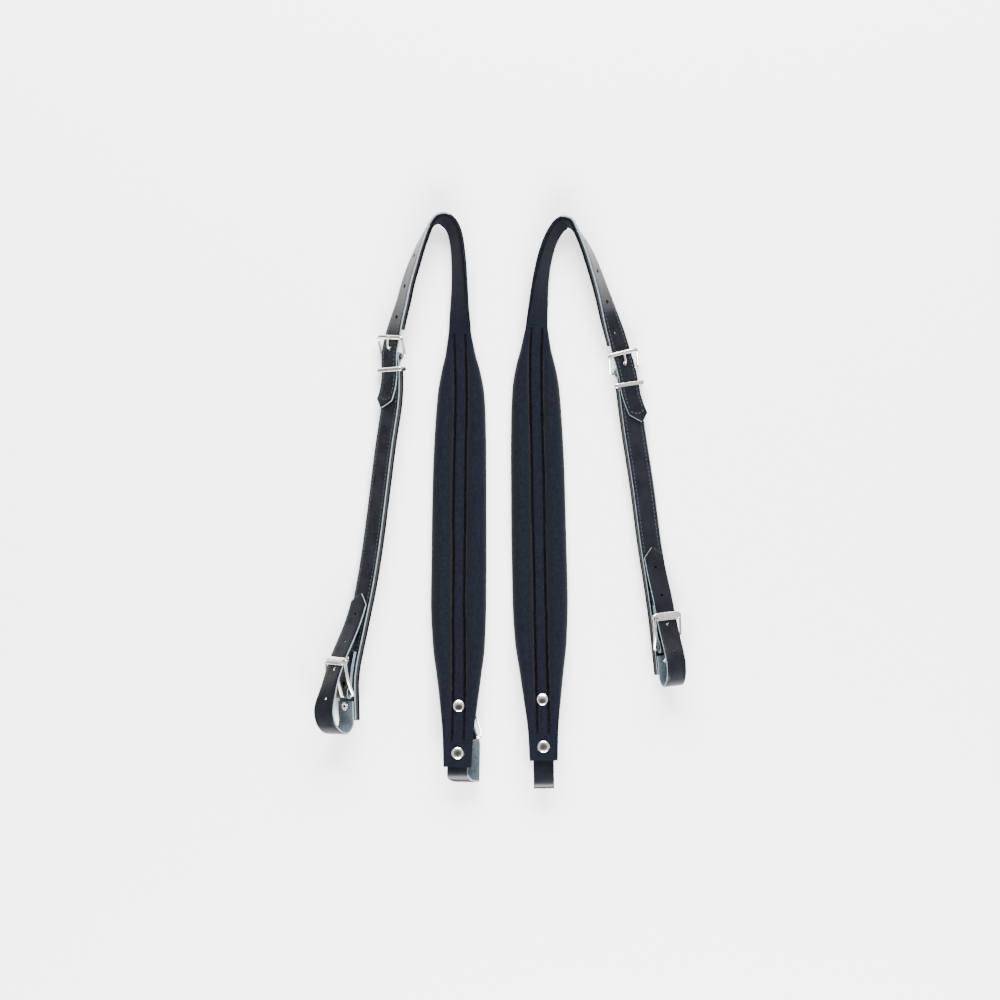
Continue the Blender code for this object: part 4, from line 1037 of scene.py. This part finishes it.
loops = [EndLoop(strap, *end) for strap in strap_pair
         for end in (("pad_end", OUTER, CHANNEL_TOP, True), ("lower_end", LOWER_FACE, LINING_BOTTOM, False))]
print("end loops:", ", ".join(loop.name for loop in loops))

# %% [markdown]
# ## The loop's line
# Seen from the side, the strip starts under the chape, turns over a soft nose, rises and comes back
# down through the little buckle to lie on the strap. A dozen points and one smooth curve give that
# line.

# %% Line of a loop
def loop_line(loop):
    """Lays out the strip's middle line, and finds the hole that the tongue goes through."""
    rise, plate_height, nose = loop.rise, loop.plate_height, loop.nose
    rest = GAP + END_STRIP / 2
    over_chape = 2 * (CHAPE + GAP) + rest
    loop.path = along([
        (END_STRIP_CUT, rest), (6, rest), (-0.5 * nose, rest + 0.035 * rise), (-nose, 0.36 * rise),
        (-0.7 * nose, 0.72 * rise), (0, 0.93 * rise), (12, rise),
        (28, 0.62 * rise + 0.38 * plate_height * 1.1),
        (44, 0.22 * rise + 0.78 * plate_height * 1.05), (PLATE_AT, plate_height),
        (76, 0.55 * plate_height + 0.45 * over_chape), (98, 0.25 * plate_height + 0.75 * rest + 0.4),
        (END_STRIP_TIP, rest + 0.4),
    ], 1.6)
    loop.reach = np.concatenate([[0], np.cumsum(np.linalg.norm(np.diff(loop.path, axis=0), axis=1))])
    free = loop.reach >= STRIP_FIXED
    loop.loose, loop.loose_reach = loop.path[free], loop.reach[free]
    top = int(np.argmax(loop.loose[:, 1]))
    loop.falling, falling_reach = loop.loose[top:], loop.loose_reach[top:]
    loop.in_use = float(np.interp(TONGUE_HOLE_AT, loop.falling[:, 0], falling_reach))


def across_strip(loop, at_reach, depth=3.0):
    """Two points through the strip, below and above it."""
    here, ahead = (np.array([np.interp(r, loop.loose_reach, loop.loose[:, k]) for k in range(2)])
                   for r in (at_reach, at_reach + 1))
    ahead -= here
    out = np.array([-ahead[1], ahead[0]]) / np.linalg.norm(ahead)
    return [tuple(here + out * d) for d in (-depth, depth)]


for loop in loops:
    loop_line(loop)
print("strips are", [round(float(loop.reach[-1])) for loop in loops], "mm long")

# %% [markdown]
# ## The loop strip
# A narrow thin band with a pointed tip. It has a row of small holes, the one in use a little wider,
# and one for the rivet that holds its cut end.

# %% Loop strip
def loop_strip(loop):
    halves = np.minimum(END_STRIP_WIDTH / 2, 0.8 + (loop.reach[-1] - loop.reach))
    grid, kinds = band(loop.path, END_STRIP, halves, loop.strip_place)
    strip = closed_mesh(loop.name + "_strip_look", grid, kinds, ["grain", "edge", "flesh"])
    holes = []
    for number, wider in ((0, 0.5), (-1, 0.0), (1, 0.0), (2, 0.0)):
        if loop.in_use + number * END_HOLE_PITCH < loop.reach[-1] - 12:
            (u0, h0), (u1, h1) = across_strip(loop, loop.in_use + number * END_HOLE_PITCH)
            holes.append((loop.strip_place(u0, 0, h0), loop.strip_place(u1, 0, h1),
                          (END_HOLE_RADIUS + wider) / 1000))
    holes.append(loop.through(RIVET_NEAR, -2, 5, RIVET_HOLE))
    punched(strip, holes)
    loop.strap.show(strip, "strap", [loop.label + "_strip"], "leather")


for loop in loops:
    loop_strip(loop)
print("loop strips made")

# %% [markdown]
# ## The chape
# The chape is a folded tab that holds the little buckle's heel bar, with a slot in the fold for the
# tongue and one rivet through both layers. Both layers are one band, so the fold closes tightly
# behind the bar.

# %% Levels of the chape
CHAPE_LOW = GAP + CHAPE / 2
CHAPE_HIGH = CHAPE_LOW + CHAPE + GAP
CHAPE_FOLD = END_BAR / 2 + BAR_GAP + CHAPE / 2
END_BAR_LEVEL = CHAPE_LOW + CHAPE_FOLD
print("heel bar sits", END_BAR_LEVEL, "mm above the strap")

# %% [markdown]
# ## Folding the chape
# The line goes up to the bar, round it and back down on itself.

# %% Chape
def chape_tab(loop):
    bow = [(END_HEEL - CHAPE_FOLD * math.sin(a), END_BAR_LEVEL - CHAPE_FOLD * math.cos(a))
           for a in np.radians(range(0, 181, 20))]
    path = along(
        [(CHAPE_CUT, CHAPE_LOW), (50, CHAPE_LOW), (34, CHAPE_LOW)] + bow
        + [(END_HEEL + 4, END_BAR_LEVEL + CHAPE_FOLD * 0.92), (END_HEEL + 9, CHAPE_HIGH + 1.6),
           (END_HEEL + 14, CHAPE_HIGH + 0.1), (50, CHAPE_HIGH), (CHAPE_CUT, CHAPE_HIGH)], 1.2)
    path[:, 1] = np.maximum(path[:, 1], CHAPE_LOW)
    world = loop.strap.world
    grid, kinds = band(path, CHAPE, np.full(len(path), CHAPE_WIDTH / 2), lambda *p: world(loop.swivelled(*p)))
    tab = closed_mesh(loop.name + "_chape_look", grid, kinds, ["grain", "edge", "flesh"])
    slot = TONGUE_WIDTH / 2 + 0.8
    lows = [(END_HEEL - 6, -slot), (END_HEEL + 13, -slot), (END_HEEL + 13, slot), (END_HEEL - 6, slot)]
    carved(tab, boxed([world(loop.swivelled(d, u, height)) for height in (-1.0, END_BAR_LEVEL + 5)
                       for d, u in lows]))
    punched(tab, [loop.through(RIVET_FAR, -2, 8, RIVET_HOLE)])
    loop.strap.show(tab, "strap", [loop.label + "_chape"], "leather")


for loop in loops:
    chape_tab(loop)
print("chapes made")

# %% [markdown]
# ## The little buckle's frame
# Its front is a wide pressed plate that covers the strip and lies along the strip's slope, and its
# flanks bow up a little on the way. The same bent wire recipe makes it, with a wide squarer section
# in front.

# %% Little buckle frame
def little_frame(loop):
    plate_level = loop.plate_height + END_STRIP / 2 + GAP + PLATE / 2 + 0.2
    heel, front = loop.swivelled(END_HEEL, 0, END_BAR_LEVEL), loop.swivelled(PLATE_AT, 0, plate_level)
    axes = rigid_axes(heel, front, loop.swivelled(END_HEEL, 1, END_BAR_LEVEL))
    if np.dot(axes[3], loop.strap.route.frame(loop.start + loop.sign * END_HEEL)[3]) < 0:
        axes = (axes[0], -axes[1], axes[2], -axes[3])
    sides = [loop.swivelled(PLATE_AT + d, 0, np.interp(PLATE_AT + d, loop.falling[:, 0], loop.falling[:, 1]))
             for d in (-4, 4)]
    slope = np.array(in_axes(axes, sides[1])) - np.array(in_axes(axes, sides[0]))
    made = metal_ring(loop.name + "_frame_look", lambda x, y, z: seat_on(loop.strap, axes, x, y, z),
                      END_BUCKLE_WIDTH / 2 - END_FLANK / 2, 0, float(np.linalg.norm(front - axes[0])), 3.0,
                      ((END_BAR, END_BAR), (END_FLANK, END_BAR), (PLATE_LENGTH, PLATE)), bow=END_BOW,
                      tilt=math.atan2(slope[1], slope[0]))
    loop.strap.show(made, loop.label + "_frame", [loop.label + "_frame"], "nickel")
    loop.axes = axes


for loop in loops:
    little_frame(loop)
print("little frames made")

# %% [markdown]
# ## The little tongue
# A flat pin hooked round the same bar. It passes under the strip and its tip comes up through the
# hole in use. The hole's place in the buckle's axes shapes the pin, so the two always meet.

# %% Little tongue
def little_tongue(loop):
    stud = [loop.raw(up, loop.aside(up, height), height) for up, height in across_strip(loop, loop.in_use)]
    spots = np.array([in_axes(loop.axes, spot) for spot in stud])
    spots = spots[np.argsort(spots[:, 1])]
    centre, out = spots.mean(axis=0), spots[1] - spots[0]
    out /= np.linalg.norm(out)
    below = centre - out * (END_STRIP / 2 + GAP + TONGUE / 2 + 0.35)
    eye = eye_bend(END_BAR / 2, TONGUE, 75)
    bend = below - np.array((2.4, 0.2))
    arm = [tuple(bend * 0.55 + np.array(eye[-1]) * 0.45), tuple(bend), tuple(centre - out * 0.9),
           tuple(centre + out * (END_STRIP / 2 + 0.5))]
    metal_tongue(loop.strap, "_" + loop.label + "_tongue_look", loop.axes, eye, arm, TONGUE,
                 (TONGUE_WIDTH / 2, TONGUE_WIDTH / 2, TONGUE_WIDTH / 2, 1.3, 0.9),
                 loop.label + "_tongue", loop.label + "_tongue")


for loop in loops:
    little_tongue(loop)
print("little tongues made")

# %% [markdown]
# ## Rivets
# A rivet has a domed cap on the velvet side and a shank through every layer, and on the leather side
# the shank's end is split and spread as a star of petals. The star is a circle whose radius swells
# nine times.

# %% Rivets
def spoke(strap, distance, radius, angle, height):
    spot, direction, width, outward = strap.route.frame(distance)
    round_axis = width * math.cos(angle) + direction * math.sin(angle)
    return strap.world(spot + round_axis * radius + outward * height)


def rivet(strap, name, distance, dome_base, clinch_base):
    """A domed cap on the velvet side, a shank, and a star of spread petals on the leather side."""
    count, petals = 72, 9
    angles = np.linspace(0, 2 * math.pi, count, endpoint=False)

    def circle(radius, height, wave=0.0, lift=0.0):
        row = []
        for a in angles:
            bulge = abs(math.cos(petals * a / 2))
            size = radius * (1 - wave + wave * bulge)
            row.append(spoke(strap, distance, size, a, height + lift * bulge))
        return row

    dome = [(RIVET_HEAD * math.sin(t), dome_base - RIVET_DOME * math.cos(t) * 0.86 - 0.12 * RIVET_DOME)
            for t in np.radians([12, 26, 40, 54, 68, 80, 88])]
    rows = [[spoke(strap, distance, 0.0, 0.0, dome_base - RIVET_DOME)]]
    rows += [circle(r, h) for r, h in dome]
    rows += [circle(RIVET_HEAD, dome_base), circle(RIVET_SHANK, dome_base), circle(RIVET_SHANK, clinch_base)]
    rows += [circle(CLINCH_RADIUS, clinch_base, 0.28), circle(CLINCH_RADIUS, clinch_base + 0.35, 0.28),
             circle(CLINCH_RADIUS * 0.80, clinch_base + 0.95, 0.30),
             circle(CLINCH_RADIUS * 0.55, clinch_base + CLINCH_HEIGHT, 0.25),
             circle(CLINCH_RADIUS * 0.38, clinch_base + CLINCH_HEIGHT * 0.8),
             circle(CLINCH_RADIUS * 0.30, clinch_base + 0.3)]
    rows.append([spoke(strap, distance, 0.0, 0.0, clinch_base + 0.2)])
    # Painted shade: the hollow in the middle of the star gets the near black hole finish.
    kinds = [0] * (len(rows) - 3) + [1, 1]
    made = turned_piece(strap.side + "_" + name + "_look", rows, ["nickel", "hole"], kinds)
    strap.show(made, "strap", [name], "nickel")


for loop in loops:
    for number, up, top in ((1, RIVET_NEAR, END_STRIP + GAP), (2, RIVET_FAR, CHAPE_HIGH + CHAPE / 2)):
        rivet(loop.strap, f"{loop.label}_rivet_{number}", loop.start + loop.sign * up,
              loop.inner_face - 1.6 * GAP, loop.face + top + GAP)
print("rivets made:", 2 * len(loops))

# %% [markdown]
# ## Sewing
# Stitch lines run near both edges of the leather, round the billet's point, on both faces of the
# lower strap, and along the pad's grooves on the leather side. Each line is a row of points with the
# way outward.

# %% Sewing
def add_seam(strap, spots, halves, height, outward_sign, place=None):
    place = place or strap.place
    line = [place(d, u, height) for d, u in zip(spots, halves)]
    above = [place(d, u, height + outward_sign) for d, u in zip(spots, halves)]
    outs = np.array(above) - np.array(line)
    strap.seams.append((line, outs / np.linalg.norm(outs, axis=1)[:, None]))


def sew(strap):
    billet_end = strap.tip - 13.0
    spots = strap.stations(4.0, billet_end, 2.0)

    def billet(*spot):
        return billet_place(strap, *spot)

    halves = np.array([leather_half(strap, d) - SEAM_INSET for d in spots])
    for sign in (-1, 1):
        add_seam(strap, spots, sign * halves, OUTER, 1, billet)
    turn = np.radians(np.linspace(-90, 90, 15))
    add_seam(strap, billet_end + 4.0 * np.cos(turn), 7.0 * np.sin(turn), OUTER, 1, billet)
    lower = strap.stations(strap.heel + 15.0, strap.route.length - 3.0, 2.0)
    for sign in (-1, 1):
        beside = np.full(len(lower), sign * (LOWER_LEATHER_WIDTH / 2 - SEAM_INSET))
        add_seam(strap, lower, beside, LOWER_FACE, 1)
        add_seam(strap, lower, beside, LINING_BOTTOM, -1)
    grooves = strap.stations(PAD_TAB + 8.0, PAD_LENGTH - 12.0, 2.0)
    for sign in (-1, 1):
        add_seam(strap, grooves, np.full(len(grooves), sign * GROOVE), OUTER, 1)
    made = stitched(strap.side + "_stitching", strap.seams)
    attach(made, strap.side + "_strap")


for strap in strap_pair:
    sew(strap)
    print(strap.side, "strap sewn with", len(strap.seams), "seams")

# %% [markdown]
# ## The surface
# The pair lies on a plain pale surface. It is one large plane, a hair below the leather.

# %% Surface
bpy.ops.mesh.primitive_plane_add(size=8.0, location=(0, 0, -0.0002))
floor = bpy.context.object
floor.name = "pale_floor"
paper = bpy.data.materials.new("pale paper")
paper.use_nodes = True
paper.node_tree.nodes["Principled BSDF"].inputs["Base Color"].default_value = (0.97, 0.97, 0.97, 1)
paper.node_tree.nodes["Principled BSDF"].inputs["Roughness"].default_value = 0.9
floor.data.materials.append(paper)
print("surface ready")

# %% [markdown]
# ## Soft boxes
# Two wide soft boxes stand off the top and the foot of the pair. They light the surface evenly, and
# leather that tilts left or right does not mirror them, so it stays black, while each loop's nose
# catches a highlight.

# %% Soft boxes
def lamp(name, place, size, power, aim=(0, 0, 0)):
    light = bpy.data.lights.new(name, "AREA")
    light.shape, light.size, light.size_y, light.energy = "RECTANGLE", size[0], size[1], power
    made = bpy.data.objects.new(name, light)
    made.location = place
    made.rotation_euler = (Vector(aim) - Vector(place)).to_track_quat("-Z", "Y").to_euler()
    bpy.context.scene.collection.objects.link(made)


lamp("top soft box", (0.1, 2.3, 1.5), (2.4, 1.3), 400)
lamp("front soft box", (0.2, -2.3, 1.4), (2.4, 1.3), 380)

# %% [markdown]
# ## The room
# Nickel looks like what is round it. A room that is dark overhead, bright halfway up and dim at the
# floor gives each wire a dark line between two light ones.

# %% Room
world = bpy.data.worlds.new("studio")
bpy.context.scene.world = world
world.use_nodes = True
sky = world.node_tree
height = node(sky, "ShaderNodeSeparateXYZ")
sky.links.new(node(sky, "ShaderNodeTexCoord").outputs["Generated"], height.inputs["Vector"])
walls = node(sky, "ShaderNodeValToRGB")
for spot, grey in ((0.0, 0.25), (0.32, 0.30), (0.52, 1.0), (0.80, 0.9), (0.92, 0.12), (1.0, 0.04)):
    stops = walls.color_ramp.elements
    stop = stops.new(spot) if 0 < spot < 1 else stops[-1 if spot else 0]
    stop.color = (grey, grey, grey, 1)
sky.links.new(height.outputs["Z"], walls.inputs["Fac"])
sky.links.new(walls.outputs["Color"], sky.nodes["Background"].inputs["Color"])
sky.nodes["Background"].inputs["Strength"].default_value = 1.2
print("room ready")

# %% [markdown]
# ## The camera
# A long lens straight above keeps the straps' proportions, as a catalogue view does.

# %% Camera
lens = bpy.data.cameras.new("camera")
lens.lens, lens.sensor_width, lens.clip_end = 100.0, 36.0, 20.0
camera = bpy.data.objects.new("camera", lens)
camera.location = (PAIR_SHIFT[0] / 1000, PAIR_SHIFT[1] / 1000, 2.79)
bpy.context.scene.collection.objects.link(camera)
bpy.context.scene.camera = camera
print("camera", [round(v, 4) for v in camera.location])
